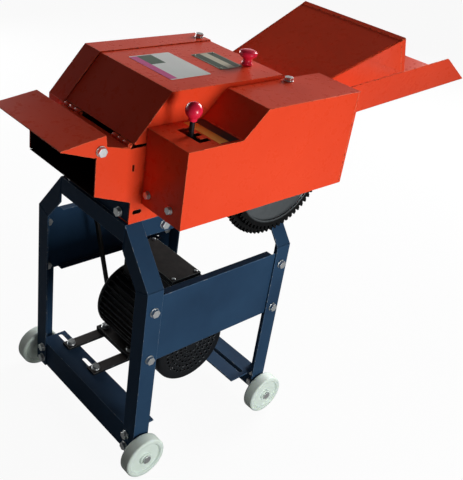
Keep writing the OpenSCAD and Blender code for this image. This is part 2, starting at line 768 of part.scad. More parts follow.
module side_plate() {
    color(orange) difference() {
        union() {
            across(-ty, -plate_in) polygon(plate_outline());
            translate([-hx + 8, -ty + 1, top_h]) cube([body_x1 + hx - 8, foot_w + plate_t - 1, plate_t]);
            translate([apron_x + sheet_t, -ty + 1, top_h + 1]) cube([plate_t, ty - apron_bolt_y + 11, 29]);
        }
        apron_hole(-1);
        bar_across(rotor_shaft_d + 14, -ty - 1, -plate_in + 1, rotor_x, rotor_h);
        bar_across(roller_shaft_d + 8, -ty - 1, -plate_in + 1, roller_x, lower_h);
        for (s = [-1, 1]) {
            bar_across(bolt_d + 2 * bolt_play, -ty - 1, -plate_in + 1, rotor_x + s * bearing_bolt, rotor_h);
            bar_across(8 + 2 * bolt_play, -ty - 1, -plate_in + 1, roller_x + s * roller_bearing_bolt,
                lower_h);
        }
        translate([roller_x - block_w / 2 - sliding, -ty - 1, upper_h - block_h / 2])
            cube([block_w + 2 * sliding, plate_t + 2, rear_h]);
        for (x = foot_bolt_xs)
            translate([x, -foot_bolt_y, top_h - 1]) cylinder(d = bolt_d + 2 * bolt_play, h = plate_t + 2);
        bar_across(10 + 2 * bolt_play, -ty - 1, -plate_in + 1, flap_pivot_x, flap_pivot_h);
        bar_across(shift_rail_d, -ty - 1, -plate_in + 1, shift_rail_x, rotor_h);
        across(-ty - 1, -plate_in + 1) {
            translate([-hx + 7, top_h + 114]) square([4, 14]);
            for (dx = [0, 12]) translate([-hx + 20 + dx, top_h + 24]) circle(d = 9);
            translate([-hx + 20, top_h + 19.5]) square([12, 9]);
        }
    }
}

tab_t = 3;
tab_w = 24;
near_tab = [body_x1 - 11, -ty - 14, guard_h1 - sheet_t];
far_tab = [body_x1 - 26, ty + 25, belt_guard_h1 - sheet_t];

// Tab welded to the outside of the near side plate, bent outwards under the top of a guard and bolted to it.
module guard_tab(bolt_x, bolt_y, top) {
    weld_h = rear_h - sheet_t - 18;
    y1 = -ty - sliding;
    difference() {
        union() {
            translate([bolt_x - tab_w / 2, y1 - tab_t, weld_h]) cube([tab_w, tab_t, top - weld_h]);
            translate([bolt_x - tab_w / 2 + 2, y1 - tab_t + 0.5, weld_h + 1])
                cube([tab_w - 4, tab_t + 0.5, 14]);
            translate([bolt_x - tab_w / 2, bolt_y - tab_w / 2, top - tab_t])
                cube([tab_w, y1 - bolt_y + tab_w / 2, tab_t]);
        }
        translate([bolt_x, bolt_y, top - 2 * tab_t]) cylinder(d = bolt_d + 2 * bolt_play, h = 3 * tab_t);
    }
}

module near_side_plate() {
    side_plate();
    color(orange) guard_tab(near_tab[0], near_tab[1], near_tab[2]);
}

module far_side_plate() mirror([0, 1, 0]) {
    side_plate();
    color(orange) guard_tab(far_tab[0], -far_tab[1], far_tab[2]);
}

// Curved floor under the rotor, running out straight to the lip of the discharge mouth.
module chute_floor() {
    to_axis = [rotor_x - body_x0, rotor_h - lip_h];
    slope = atan2(to_axis[1], to_axis[0]) - asin(chute_r / norm(to_axis));
    touch = [rotor_x + chute_r * cos(slope - 90), rotor_h + chute_r * sin(slope - 90)];
    down = [sin(slope), -cos(slope)] * sheet_t;
    along = [cos(slope), sin(slope)] * 4;
    rear = -asin((rotor_h - lower_h - lower_r + 12) / chute_r);
    color(orange) {
        across(-plate_in, plate_in) intersection() {
            translate([rotor_x, rotor_h]) difference() {
                circle(chute_r + sheet_t);
                circle(chute_r);
            }
            translate([rotor_x, rotor_h]) polygon([[0, 0], 2 * chute_r * [cos(slope - 90), sin(slope - 90)],
                4 * chute_r * [cos(-60), sin(-60)], 2 * chute_r * [cos(rear), sin(rear)]]);
        }
        across(-plate_in, plate_in) translate(down / 3)
            polygon([[body_x0, lip_h], touch + along, touch + along + down, [body_x0, lip_h] + down]);
    }
}

// Deck over the mouth, with the fixed knuckles of the two hood hinges along its rear edge.
module front_deck() {
    low = [hinge_x, hinge_h - barrel_r + sheet_t];
    high = [flap_x1 + 2, hood_base_h + 8];
    back = unit(high - low);
    thick = [back[1], -back[0]] * sheet_t;
    color(orange) difference() {
        union() {
            across(-plate_in, plate_in) polygon([low, high, high - thick, low - thick]);
            for (s = [-1, 1], e = [-1, 1]) bar_across(barrel_d, s * hinge_y + e * hinge_l / 3 - hinge_l / 6,
                s * hinge_y + e * hinge_l / 3 + hinge_l / 6, hinge_x, hinge_h);
        }
        bar_across(hinge_pin_d, -ty, ty, hinge_x, hinge_h);
        for (s = [-1, 1]) bar_across(barrel_d + 4 * sliding, s * hinge_y - hinge_l / 6 - sliding,
            s * hinge_y + hinge_l / 6 + sliding, hinge_x, hinge_h);
    }
}

hinge_y = plate_in - 3 - hinge_l / 2;

module hinge_pins() {
    color(steel) for (s = [-1, 1])
        bar_across(hinge_pin_d, s * hinge_y - hinge_l / 2 - 2, s * hinge_y + hinge_l / 2 + 2, hinge_x,
            hinge_h);
}

// Rear wall of the body with the feed throat, and the cover over the rollers that the hood closes on.
knob_x = hood_x1 - 35;
knob_y = -43;

module throat_plate() {
    color(orange) difference() {
        union() {
            translate([body_x1 - plate_t, -plate_in, top_h + plate_t])
                cube([plate_t, 2 * plate_in, rear_h - top_h - plate_t]);
            translate([roller_x - block_w / 2 - 6, -ty, rear_h - sheet_t])
                cube([body_x1 - roller_x + block_w / 2 + 6, top_w, sheet_t]);
        }
        translate([body_x1 - 2 * plate_t, -feed_half_w0 - sliding, feed_h - sheet_t - sliding])
            cube([3 * plate_t, 2 * (feed_half_w0 + sliding), wall_h + 9]);
        translate([knob_x, knob_y, rear_h - 2 * sheet_t]) cylinder(d = 12, h = 4 * sheet_t);
    }
}

// Fixed knife across the throat, bevelled to the circle of the rotor knives.
module shear_bar() {
    edge_h = lower_h + lower_r - 2;
    edge_x = rotor_x + sqrt(pow(knife_r + shear_gap, 2) - pow(edge_h - rotor_h, 2));
    color(steel) across(-plate_in, plate_in)
        polygon([[edge_x, edge_h], [edge_x + 4, edge_h - 10], [edge_x + 26, edge_h - 10],
            [edge_x + 26, edge_h]]);
}

// Rotor
module rotor_shaft() {
    color(steel) {
        bar_across(rotor_shaft_d, -ty - 18, ty + 18, rotor_x, rotor_h);
        bar_across(rotor_shaft_d - 4, ty, belt_y + pulley_w / 2 + 3, rotor_x, rotor_h);
        bar_across(spline_d, guard_y + 6, -ty, rotor_x, rotor_h);
        translate([rotor_x - 4, guard_y + 8, rotor_h]) cube([8, -ty - 20 - guard_y - 8, spline_d / 2 + 3]);
    }
}

knife_tilt = 50;
knife_dir = [cos(knife_tilt), sin(knife_tilt)];
knife_out = [-sin(knife_tilt), cos(knife_tilt)];
knife_tip = [0, knife_r];

// Two spiders on the shaft, each with one sloped seat for every knife.
module knife_carrier() {
    seat_hi = knife_tip - 12 * knife_dir - knife_t * knife_out;
    seat_lo = knife_tip - knife_w * knife_dir - knife_t * knife_out;
    spider_y = 0.34 * knife_l;
    spider_w = 12;
    color(dark) for (s = [-1, 1]) across(s * spider_y - spider_w / 2, s * spider_y + spider_w / 2)
        translate([rotor_x, rotor_h]) difference() {
        union() {
            circle(36);
            for (i = [0:knife_count - 1]) rotate(i * 360 / knife_count)
                polygon([[-34, 8], seat_lo, seat_hi, [30, 20], [0, 0]]);
        }
        circle(rotor_shaft_d / 2);
    }
}

module knives() {
    color(steel) across(-knife_l / 2, knife_l / 2) translate([rotor_x, rotor_h])
        for (i = [0:knife_count - 1]) rotate(i * 360 / knife_count)
            polygon([knife_tip, knife_tip - knife_w * knife_dir,
                knife_tip - knife_w * knife_dir - knife_t * knife_out,
                knife_tip - 12 * knife_dir - knife_t * knife_out]);
}

// Flange bearing: the flange lies on the side plate and the hub stands out from it.
module flange_bearing(shaft_d, flange_r, l) {
    hub_r = shaft_d / 2 + 6.5;
    rotate([90, 0, 0]) rotate_extrude() polygon([[shaft_d / 2 + running, 0], [flange_r, 0], [flange_r, l / 3],
        [hub_r, l / 3], [hub_r - 1, l], [shaft_d / 2 + running, l]]);
}

module rotor_bearings() {
    color(steel) for (s = [0, 1]) mirror([0, s, 0]) difference() {
        translate([rotor_x, -ty, rotor_h]) flange_bearing(rotor_shaft_d, bearing_bolt + 9, bearing_l);
        for (e = [-1, 1])
            bar_across(bolt_d + 2 * bolt_play, -ty - 20, -ty + 1, rotor_x + e * bearing_bolt, rotor_h);
    }
}

module lower_roller_bearings() {
    color(steel) for (s = [0, 1]) mirror([0, s, 0]) difference() {
        translate([roller_x, -ty, lower_h])
            flange_bearing(roller_shaft_d, roller_bearing_bolt + 8, roller_bearing_l);
        for (e = [-1, 1])
            bar_across(8 + 2 * bolt_play, -ty - 20, -ty + 1, roller_x + e * roller_bearing_bolt, lower_h);
    }
}

module body_bolts() {
    color(steel) for (s = [0, 1]) mirror([0, s, 0]) {
        for (e = [-1, 1]) {
            translate([rotor_x + e * bearing_bolt, -ty - bearing_l / 3, rotor_h]) rotate([90, 0, 0])
                hex_bolt(plate_t + bearing_l / 3);
            translate([roller_x + e * roller_bearing_bolt, -ty - roller_bearing_l / 3, lower_h])
                rotate([90, 0, 0])
                hex_bolt(plate_t + roller_bearing_l / 3, 8);
        }
        for (x = foot_bolt_xs)
            translate([x, -foot_bolt_y, top_h + plate_t]) hex_bolt(plate_t + angle_t);
        translate([flap_pivot_x, -flap_cheek_y - sheet_t - sliding, flap_pivot_h]) rotate([90, 0, 0])
            hex_bolt(plate_t + 2 * sliding + sheet_t);
    }
    color(steel) {
        for (y = guard_bolt_ys)
            translate([guard_x0, y, guard_bolt_h]) rotate([0, -90, 0]) hex_bolt(sheet_t + 4, 8);
        for (tab = [near_tab, far_tab]) translate(tab + [0, 0, sheet_t]) hex_bolt(sheet_t + tab_t);
        for (s = [-1, 1]) translate([apron_x, s * apron_bolt_y, apron_bolt_h]) rotate([0, -90, 0])
            hex_bolt(sheet_t + plate_t);
    }
}

// Feed rollers
module ribbed(r) {
    circle(r - rib_h);
    for (i = [0:rib_count - 1]) rotate(i * 360 / rib_count)
        polygon([[0, -6], [r - 1, -2], [r, 2], [r - rib_h - 1, 5], [0, 5]]);
}

journal_d = roller_shaft_d - 5;
lower_end_y = fast_gear_y - 6;
roller_gear_y = -ty - 13 - roller_gear_w;
upper_end_y = roller_gear_y - 4;

module lower_roller() {
    color(steel) {
        across(-roller_l / 2, roller_l / 2) translate([roller_x, lower_h]) ribbed(lower_r);
        bar_across(roller_shaft_d, lower_end_y, ty + 10, roller_x, lower_h);
    }
}

module upper_roller() {
    color(steel) {
        across(-roller_l / 2, roller_l / 2) translate([roller_x, upper_h])
            rotate(180 / rib_count) ribbed(upper_r);
        bar_across(journal_d, upper_end_y, ty + 8, roller_x, upper_h);
    }
}

// Bearing blocks that slide up and down in the slots of the side plates.
module upper_roller_blocks() {
    color(dark) for (s = [0, 1]) mirror([0, s, 0]) difference() {
        translate([roller_x, 0, upper_h]) {
            translate([-block_w / 2, -ty - 2, -block_h / 2]) cube([block_w, plate_t + 4, block_h]);
            translate([-block_w / 2 - 4, -ty - block_out, -block_h / 2])
                cube([block_w + 8, block_out - sliding, block_h]);
            translate([-block_w / 2 - 4, -plate_in + sliding, -block_h / 2])
                cube([block_w + 8, block_in, block_h]);
        }
        bar_across(journal_d + 2 * running, -ty - 10, -plate_in + 10, roller_x, upper_h);
    }
}

// Pressure springs between the bearing blocks and the roller cover.
spring_r = 4.8;
spring_wire = 2.4;
spring_turns = 6;

module roller_springs() {
    steps = 8 * spring_turns;
    z0 = upper_h + block_h / 2 + spring_wire / 2;
    rise = rear_h - sheet_t - spring_wire / 2 - z0;
    y = ty + (block_out - plate_t - block_in) / 2;
    ring = [for (k = [0:5]) [cos(60 * k + 30), sin(60 * k + 30)] * spring_wire / 2];
    points = [for (i = [0:steps], c = ring)
        let (a = i * 360 / 8)
        [(spring_r + c[0]) * cos(a), (spring_r + c[0]) * sin(a), z0 + rise * i / steps + c[1]]];
    sides = [for (i = [0:steps - 1], k = [0:5])
        let (a = 6 * i + k, b = 6 * i + (k + 1) % 6)
        each [[a, a + 6, b], [b, a + 6, b + 6]]];
    ends = [for (k = [1:4]) each [[0, k, k + 1], [6 * steps, 6 * steps + k + 1, 6 * steps + k]]];
    color(steel) for (s = [-1, 1]) translate([roller_x, s * y, 0]) polyhedron(points, concat(sides, ends));
}

// Gears
function involute(a) = tan(a) * 180 / PI - a;
function half_tooth(n, r) =
    let (pitch_r = gear_m * n / 2, base_r = pitch_r * cos(20), s = max(r, base_r))
    90 / n - backlash / (4 * pitch_r) * 180 / PI + involute(20) - involute(acos(base_r / s));
function polar(r, a) = [r * cos(a), r * sin(a)];

// Spur gear outline with involute flanks and one tooth on the angle "turn".
module gear_outline(n, turn) {
    pitch_r = gear_m * n / 2;
    tip_r = pitch_r + 0.95 * gear_m;
    root_r = pitch_r - 1.25 * gear_m;
    flank = [root_r, pitch_r - 0.35 * gear_m, pitch_r + 0.3 * gear_m, tip_r];
    polygon([for (i = [0:n - 1]) let (c = turn + i * 360 / n)
        each concat([for (r = flank) polar(r, c - half_tooth(n, r))],
            [for (k = [3:-1:0]) polar(flank[k], c + half_tooth(n, flank[k]))])]);
}

module spur_gear(n, turn, bore_d, y, w, x, z) {
    across(y, y + w) translate([x, z]) difference() {
        gear_outline(n, turn);
        circle(d = bore_d);
    }
}

// Slow and fast gear on one hub on the lower roller shaft, with a turned recess between hub and rim.
module double_gear() {
    hub_d = roller_shaft_d + 30;
    bore = roller_shaft_d;
    rim = gear_m * fast_gear_n / 2 - 18;
    color(dark) difference() {
        union() {
            spur_gear(slow_gear_n, mesh_angle, bore, slow_gear_y, gear_w, roller_x, lower_h);
            spur_gear(fast_gear_n, mesh_angle, bore, fast_gear_y, gear_w, roller_x, lower_h);
            bar_across(2 * rim, slow_gear_y - shift_play, slow_gear_y, roller_x, lower_h);
            bar_across(hub_d, fast_gear_y - 4, slow_gear_y + gear_w + 3, roller_x, lower_h);
        }
        bar_across(bore, fast_gear_y - 10, 0, roller_x, lower_h);
        translate([roller_x, fast_gear_y + 4, lower_h]) rotate([90, 0, 0]) rotate_extrude()
            translate([hub_d / 2, 0]) square([rim - hub_d / 2, 20]);
    }
}

module lower_roller_gear() {
    color(steel) spur_gear(roller_gear_n, 90, roller_shaft_d, roller_gear_y, roller_gear_w, roller_x,
        lower_h);
}

module upper_roller_gear() {
    color(steel) spur_gear(roller_gear_n, 90 + 180 / roller_gear_n, journal_d, roller_gear_y, roller_gear_w,
        roller_x, upper_h);
}

groove_r = spline_d / 2 + 5;

// Both pinions on one sleeve that slides on the keyed end of the rotor shaft.
module sliding_pinion() {
    toward_gear = mesh_angle - 180;
    bore = spline_d + 2 * running;
    sleeve_r = spline_d / 2 + 8;
    color(steel) difference() {
        union() {
            spur_gear(slow_pinion_n, toward_gear + 180 / slow_pinion_n, bore, slow_pinion_y, gear_w,
                rotor_x, rotor_h);
            spur_gear(fast_pinion_n, toward_gear + 180 / fast_pinion_n, bore, fast_pinion_y, gear_w,
                rotor_x, rotor_h);
            bar_across(2 * sleeve_r, fast_pinion_y, slow_pinion_y + gear_w, rotor_x, rotor_h);
        }
        translate([rotor_x, fork_y, rotor_h]) rotate([90, 0, 0]) rotate_extrude()
            translate([groove_r, -fork_w / 2 - 1]) square([20, fork_w + 2]);
        bar_across(bore, guard_y, -ty, rotor_x, rotor_h);
        translate([rotor_x - 4 - sliding, guard_y, rotor_h])
            cube([8 + 2 * sliding, -ty - guard_y, spline_d / 2 + 3.5]);
    }
}

shift_rail_x = lever_x - 3.2 * lever_d;

// Fork round the sleeve's groove, its boss on the shift rail and the slotted ear that the lever works in.
module shift_fork() {
    ear_w = lever_d + 4.5;
    y0 = fork_y - fork_w / 2;
    color(steel) difference() {
        union() {
            across(y0, y0 + fork_w) difference() {
                union() {
                    translate([rotor_x, rotor_h]) circle(groove_r + 13);
                    polygon([[shift_rail_x, rotor_h - 8], [rotor_x - 10, rotor_h - 8],
                        [rotor_x - 10, rotor_h + 8], [shift_rail_x, rotor_h + 8]]);
                }
                translate([rotor_x, rotor_h]) circle(groove_r + sliding);
                translate([rotor_x - 2, rotor_h - 60]) square([120, 120]);
            }
            translate([shift_rail_x, y0, rotor_h - 3])
                cube([lever_x + 18 - shift_rail_x, lever_y + ear_w / 2 + 7 - y0, 6]);
            bar_across(shift_rail_d + 10, y0, lever_y + ear_w / 2 + 7, shift_rail_x, rotor_h);
        }
        translate([lever_x - 10, lever_y - ear_w / 2, rotor_h - 20]) cube([60, ear_w, 40]);
        bar_across(shift_rail_d + 2 * running, guard_y, 0, shift_rail_x, rotor_h);
    }
}

module shift_rail() {
    color(steel) bar_across(shift_rail_d, guard_y + 10, -plate_in, shift_rail_x, rotor_h);
}

yoke_w = 16;
yoke_l = 20;
yoke_pin_d = 8;
lever_pin_d = 6;

guard_bolt_ys = [lever_y - 25, -ty - 19];
guard_bolt_h = guard_h0 + guard_bolt_up;

// Bracket from the side plate behind the guard's front wall, with the pin that the yoke swings on.
module lever_bracket() {
    ear_y = yoke_l / 2 + 2;
    base_h = lever_h - 20;
    color(dark) {
        translate([guard_x0 + sheet_t, lever_y - ear_y - 5, base_h])
            cube([lever_x + 9 - guard_x0 - sheet_t, 2 * ear_y + 10, 5]);
        difference() {
            translate([guard_x0 + sheet_t, lever_y - 36, guard_bolt_h - 14])
                cube([4, -ty - lever_y + 36, 28]);
            for (y = guard_bolt_ys) translate([guard_x0, y, guard_bolt_h]) rotate([0, 90, 0])
                cylinder(d = 8 + 2 * bolt_play, h = 12);
        }
        for (s = [-1, 1])
            translate([lever_x - 9, lever_y + s * (ear_y + 2.5) - 2.5, base_h]) cube([18, 5, 29]);
        bar_across(yoke_pin_d, lever_y - ear_y - 7, lever_y + ear_y + 7, lever_x, lever_h);
    }
}

module lever_yoke() {
    color(steel) difference() {
        union() {
            translate([lever_x - yoke_w / 2, lever_y - yoke_l / 2, lever_h - 8]) cube([yoke_w, yoke_l, 16]);
            translate([lever_x - yoke_w / 2 - 6, lever_y, lever_h]) rotate([0, 90, 0])
                cylinder(d = lever_pin_d, h = yoke_w + 12);
        }
        bar_across(yoke_pin_d + 2 * running, lever_y - yoke_l, lever_y + yoke_l, lever_x, lever_h);
    }
}

// Lever rod with a clevis round the yoke.
module shift_lever() {
    ball_z = shelf_h + ball_h;
    color(dark) difference() {
        union() {
            translate([lever_x, lever_y, lever_h + 14]) cylinder(d = lever_d, h = ball_z - lever_h - 14);
            translate([lever_x - yoke_w / 2 - 5, lever_y - 5, lever_h + 12]) cube([yoke_w + 10, 10, 7]);
            for (s = [-1, 1])
                translate([lever_x + s * (yoke_w / 2 + sliding + 2.35) - 2.35, lever_y - 5, lever_h - 5])
                    cube([4.7, 10, 20]);
        }
        translate([lever_x - 30, lever_y, lever_h]) rotate([0, 90, 0])
            cylinder(d = lever_pin_d + 2 * running, h = 60);
    }
}

module lever_knob() {
    color(red) difference() {
        union() {
            translate([lever_x, lever_y, shelf_h + ball_h]) sphere(ball_r);
            translate([lever_x, lever_y, shelf_h + ball_h - ball_r - 4]) cylinder(d = lever_d + 6, h = 8);
        }
        translate([lever_x, lever_y, lever_h]) cylinder(d = lever_d, h = gate_rise + ball_h);
    }
}

// Covers
function guard_outline() = [[guard_x0, guard_h0], [guard_x1, guard_h0], [guard_x1, guard_h1],
    [guard_top_x0, guard_h1], [shelf_x1, shelf_h], [guard_x0, shelf_h]];

// Folded guard over the gears: open below and towards the body, with the three-notch gate in its shelf.
module gear_guard() {
    inner = inset(guard_outline(), sheet_t);
    color(orange) difference() {
        across(guard_y, -ty) polygon(guard_outline());
        across(guard_y + sheet_t, 0) polygon(inner);
        translate([guard_x0 + sheet_t, guard_y + sheet_t, guard_h0 - 1])
            cube([guard_x1 - guard_x0 - 2 * sheet_t, -guard_y, 20]);
        translate([guard_x1 - 10, -cover_half_w0 - 17, guard_h0 - 1])
            cube([20, -guard_y, guard_h1 - guard_h0 - sheet_t + 1]);
        for (y = guard_bolt_ys) translate([guard_x0 - 1, y, guard_bolt_h]) rotate([0, 90, 0])
            cylinder(d = 8 + 2 * bolt_play, h = sheet_t + 2);
        translate([near_tab[0], near_tab[1], guard_h1 - 10]) cylinder(d = bolt_d + 2 * bolt_play, h = 20);
        translate([guard_x1 - 3.5 * sheet_t, guard_y - 1, guard_h0 - 1])
            cube([0.6 * sheet_t, 0.5 * sheet_t + 1, guard_h1 - guard_h0 - sheet_t]);
        translate([lever_x - gate_w / 2, lever_y - gate_throw - gate_w / 2, shelf_h - 10])
            cube([gate_w, 2 * gate_throw + gate_w, 20]);
        for (k = [-1, 0, 1]) translate([lever_x, lever_y + k * gate_throw - gate_w / 2, shelf_h - 10])
            cube([notch_l + gate_w / 2, gate_w, 20]);
    }
}

function belt_guard_outline() = [[belt_guard_x0, belt_guard_h0], [belt_guard_x1, belt_guard_h0],
    [belt_guard_x1, belt_guard_h1], [belt_guard_top_x0, belt_guard_h1], [belt_guard_x0, belt_guard_h2]];

module belt_guard() {
    inner = inset(belt_guard_outline(), sheet_t);
    color(orange) difference() {
        across(ty, belt_guard_y) polygon(belt_guard_outline());
        across(0, belt_guard_y - sheet_t) polygon(inner);
        translate([belt_guard_x0 + sheet_t, 0, belt_guard_h0 - 1])
            cube([belt_guard_x1 - belt_guard_x0 - 2 * sheet_t, belt_guard_y - sheet_t, 20]);
        translate([far_tab[0], far_tab[1], belt_guard_h1 - 10]) cylinder(d = bolt_d + 2 * bolt_play, h = 20);
    }
}

hood_slope = unit([hood_x0, hood_h] - [hinge_x, hinge_h]);
hood_foot = [hinge_x, hinge_h] + (barrel_r + 1) * hood_slope;
hood_step_x = rotor_x + knife_r - 4 - 3;

function hood_outline() = [hood_foot, [hood_foot[0] + 4, hood_base_h + 1], [hood_step_x, hood_base_h + 1],
    [hood_step_x, rear_h + 2], [hood_x1, rear_h + 2], [hood_x1, hood_h], [hood_x0, hood_h]];

// Folded hood: front slope, flat top, rear drop and two cheeks, with a knuckle at each hinge.
module hood() {
    half = ty - 0.4;
    skin = sheet_t * [hood_slope[1], -hood_slope[0]];
    inner = [hood_foot - 20 * hood_slope + skin, [hood_x1 - sheet_t, rear_h - 60],
        [hood_x1 - sheet_t, hood_h - sheet_t],
        [hood_x0 + sheet_t * (1 - hood_slope[0]) / hood_slope[1], hood_h - sheet_t]];
    color(orange) difference() {
        union() {
            difference() {
                across(-half, half) polygon(hood_outline());
                across(-half + sheet_t, half - sheet_t) polygon(inner);
            }
            for (s = [-1, 1]) {
                y0 = s * hinge_y - hinge_l / 6 + sliding;
                y1 = s * hinge_y + hinge_l / 6 - sliding;
                bar_across(barrel_d, y0, y1, hinge_x, hinge_h);
                across(y0, y1) polygon([[hinge_x, hinge_h], [hinge_x, hinge_h] + skin,
                    hood_foot + 3 * hood_slope + skin, hood_foot + 3 * hood_slope]);
            }
        }
        for (s = [-1, 1])
            bar_across(hinge_pin_d + 2 * running, s * hinge_y - hinge_l, s * hinge_y + hinge_l, hinge_x,
                hinge_h);
        translate([knob_x, knob_y, hood_h - 10]) cylinder(d = 8 + 2 * running, h = 20);
    }
}

// Spool-shaped hand screw that clamps the hood to the roller cover.
module hood_knob() {
    color(red) translate([knob_x, knob_y, hood_h + sliding]) {
        rotate_extrude() polygon([[0, 0], [11, 0], [12, 1.5], [12, 5], [10, 8], [9.5, 12], [12, 16],
            [17, 18.5], [19, 21], [19.5, 25], [18, 29], [12, 31.5], [0, 32]]);
        translate([0, 0, rear_h - hood_h - 4]) cylinder(d = 8, h = hood_h - rear_h + 5);
    }
}

flap_cheek_y = ty + sliding;
flap_dir = [cos(flap_slope), sin(flap_slope)];
flap_up = [-sin(flap_slope), cos(flap_slope)];
flap_axis = [flap_pivot_x, flap_pivot_h];

function on_flap(x) = flap_axis + flap_rise * flap_up
    + flap_dir * (x - flap_pivot_x + flap_rise * flap_up[0] * -1) / flap_dir[0];

// Deflector plate with a cheek on each side that turns on the pivot bolts.
module discharge_flap() {
    front = on_flap(flap_x0);
    rear = on_flap(flap_x1);
    color(orange) {
        across(-flap_cheek_y - sheet_t, flap_cheek_y + sheet_t)
            polygon([front, front - sheet_t * flap_up, rear - sheet_t * flap_up, rear]);
        for (s = [0, 1]) mirror([0, s, 0]) difference() {
            across(-flap_cheek_y - sheet_t, -flap_cheek_y)
                polygon([front, front - sheet_t * flap_up, flap_axis + [-12, -12], flap_axis + [10, -10],
                    flap_axis + [13, 12], rear]);
            bar_across(10 + 2 * running, -flap_cheek_y - sheet_t - 1, -flap_cheek_y + 1, flap_pivot_x,
                flap_pivot_h);
        }
    }
}

// Feed end
function floor_h(x) = feed_h + (x - body_x1) * feed_slope;
function floor_half(x) = feed_half_w0 + (x - body_x1) * (feed_half_w1 - feed_half_w0) / (feed_x1 - body_x1);
function floor_edge(x, s) = [x, s * floor_half(x), floor_h(x)];
function wall_edge(x, s) = floor_edge(x, s) + [0, s * wall_lean, wall_h];

// Flared trough: floor, two leaning walls that start inside the floor's fold, a tongue through the throat.
module feed_trough() {
    tongue_x = roller_x + lower_r + 4;
    fold = [0, 1.5, 0];
    wall_x0 = body_x1 + sliding / 2;
    color(orange) {
        sheet_panel([floor_edge(body_x1, -1) - fold, floor_edge(feed_x1, -1) - fold,
            floor_edge(feed_x1, 1) + fold, floor_edge(body_x1, 1) + fold], sheet_t);
        translate([tongue_x, -feed_half_w0 + sliding, feed_h - sheet_t])
            cube([body_x1 + 3 - tongue_x, 2 * (feed_half_w0 - sliding), sheet_t]);
        for (s = [0, 1]) mirror([0, s, 0]) {
            drop = [0, -wall_lean, wall_h] / wall_h * 1.5;
            sheet_panel([floor_edge(feed_x1, -1) - drop, floor_edge(wall_x0, -1) - drop,
                wall_edge(wall_x0, -1), wall_edge(wall_x1, -1)], sheet_t);
        }
    }
}

function cover_h(x) = cover_h0 + (x - cover_x0) * (cover_h1 - cover_h0) / (cover_x1 - cover_x0);
function cover_half(x) =
    cover_half_w0 + (x - cover_x0) * (cover_half_w1 - cover_half_w0) / (cover_x1 - cover_x0);
function cover_edge(x, s) = [x, s * cover_half(x), cover_h(x)];
cheek_x1 = cover_x1 + 38;

// Folded hem that lies on a sheet with the same corners as sheet_panel takes.
module hem(p) {
    n = unit(cross(p[1] - p[0], p[3] - p[0]));
    sheet_panel([for (v = p) v + 0.75 * sheet_t * n], sheet_t);
}

// Sloped cover over the trough with two cheeks, hemmed round its outer end.
module feed_cover() {
    lift = [0, 0, sliding];
    side = [0, 1, 0];
    up = [0, 0, 1];
    hem_x = cover_x1 - hem_w;
    color(orange) {
        hem([cover_edge(hem_x, -1) + side, cover_edge(cover_x1, -1) + side, cover_edge(cover_x1, 1) - side,
            cover_edge(hem_x, 1) - side]);
        hem([wall_edge(cheek_x1 - hem_w, -1) + up, wall_edge(cheek_x1, -1) + up,
            cover_edge(cover_x1, -1) - up, cover_edge(hem_x, -1) - up]);
        hem([wall_edge(cheek_x1, 1) + up, wall_edge(cheek_x1 - hem_w, 1) + up, cover_edge(hem_x, 1) - up,
            cover_edge(cover_x1, 1) - up]);
        sheet_panel([cover_edge(cover_x0, -1), cover_edge(cover_x1, -1), cover_edge(cover_x1, 1),
            cover_edge(cover_x0, 1)], sheet_t);
        sheet_panel([wall_edge(cover_x0, -1) + lift, wall_edge(cheek_x1, -1) + lift, cover_edge(cover_x1, -1),
            cover_edge(cover_x0, -1)], sheet_t);
        sheet_panel([wall_edge(cheek_x1, 1) + lift, wall_edge(cover_x0, 1) + lift, cover_edge(cover_x0, 1),
            cover_edge(cover_x1, 1)], sheet_t);
    }
}

module placed() translate([-mid_x, 0, 0]) children();

placed() near_front_leg();
placed() near_rear_leg();
placed() far_front_leg();
placed() far_rear_leg();
placed() top_frame();
placed() front_cross_member();
placed() rear_cross_member();
placed() near_side_panel();
placed() far_side_panel();
placed() motor_rails();
placed() frame_bolts();
placed() wheel_axles();
placed() near_front_wheel();
placed() near_rear_wheel();
placed() far_front_wheel();
placed() far_rear_wheel();
placed() motor_housing();
placed() motor_end_bell();
placed() motor_fan_cover();
placed() motor_terminal_box();
placed() motor_shaft();
placed() motor_fan();
placed() motor_pulley();
placed() drive_belt();
placed() motor_bolts();
placed() near_side_plate();
placed() far_side_plate();
placed() chute_floor();
placed() front_deck();
placed() throat_plate();
placed() shear_bar();
placed() body_bolts();
placed() rotor_shaft();
placed() knife_carrier();
placed() knives();
placed() rotor_pulley();
placed() rotor_bearings();
placed() lower_roller();
placed() upper_roller();
placed() lower_roller_bearings();
placed() upper_roller_blocks();
placed() roller_springs();
placed() double_gear();
placed() lower_roller_gear();
placed() upper_roller_gear();
placed() sliding_pinion();
placed() shift_fork();
placed() shift_rail();
placed() lever_bracket();
placed() lever_yoke();
placed() shift_lever();
placed() lever_knob();
placed() gear_guard();
placed() belt_guard();
placed() hood();
placed() hood_knob();
placed() hinge_pins();
placed() discharge_flap();
placed() feed_trough();
placed() feed_cover();
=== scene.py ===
import json
import math

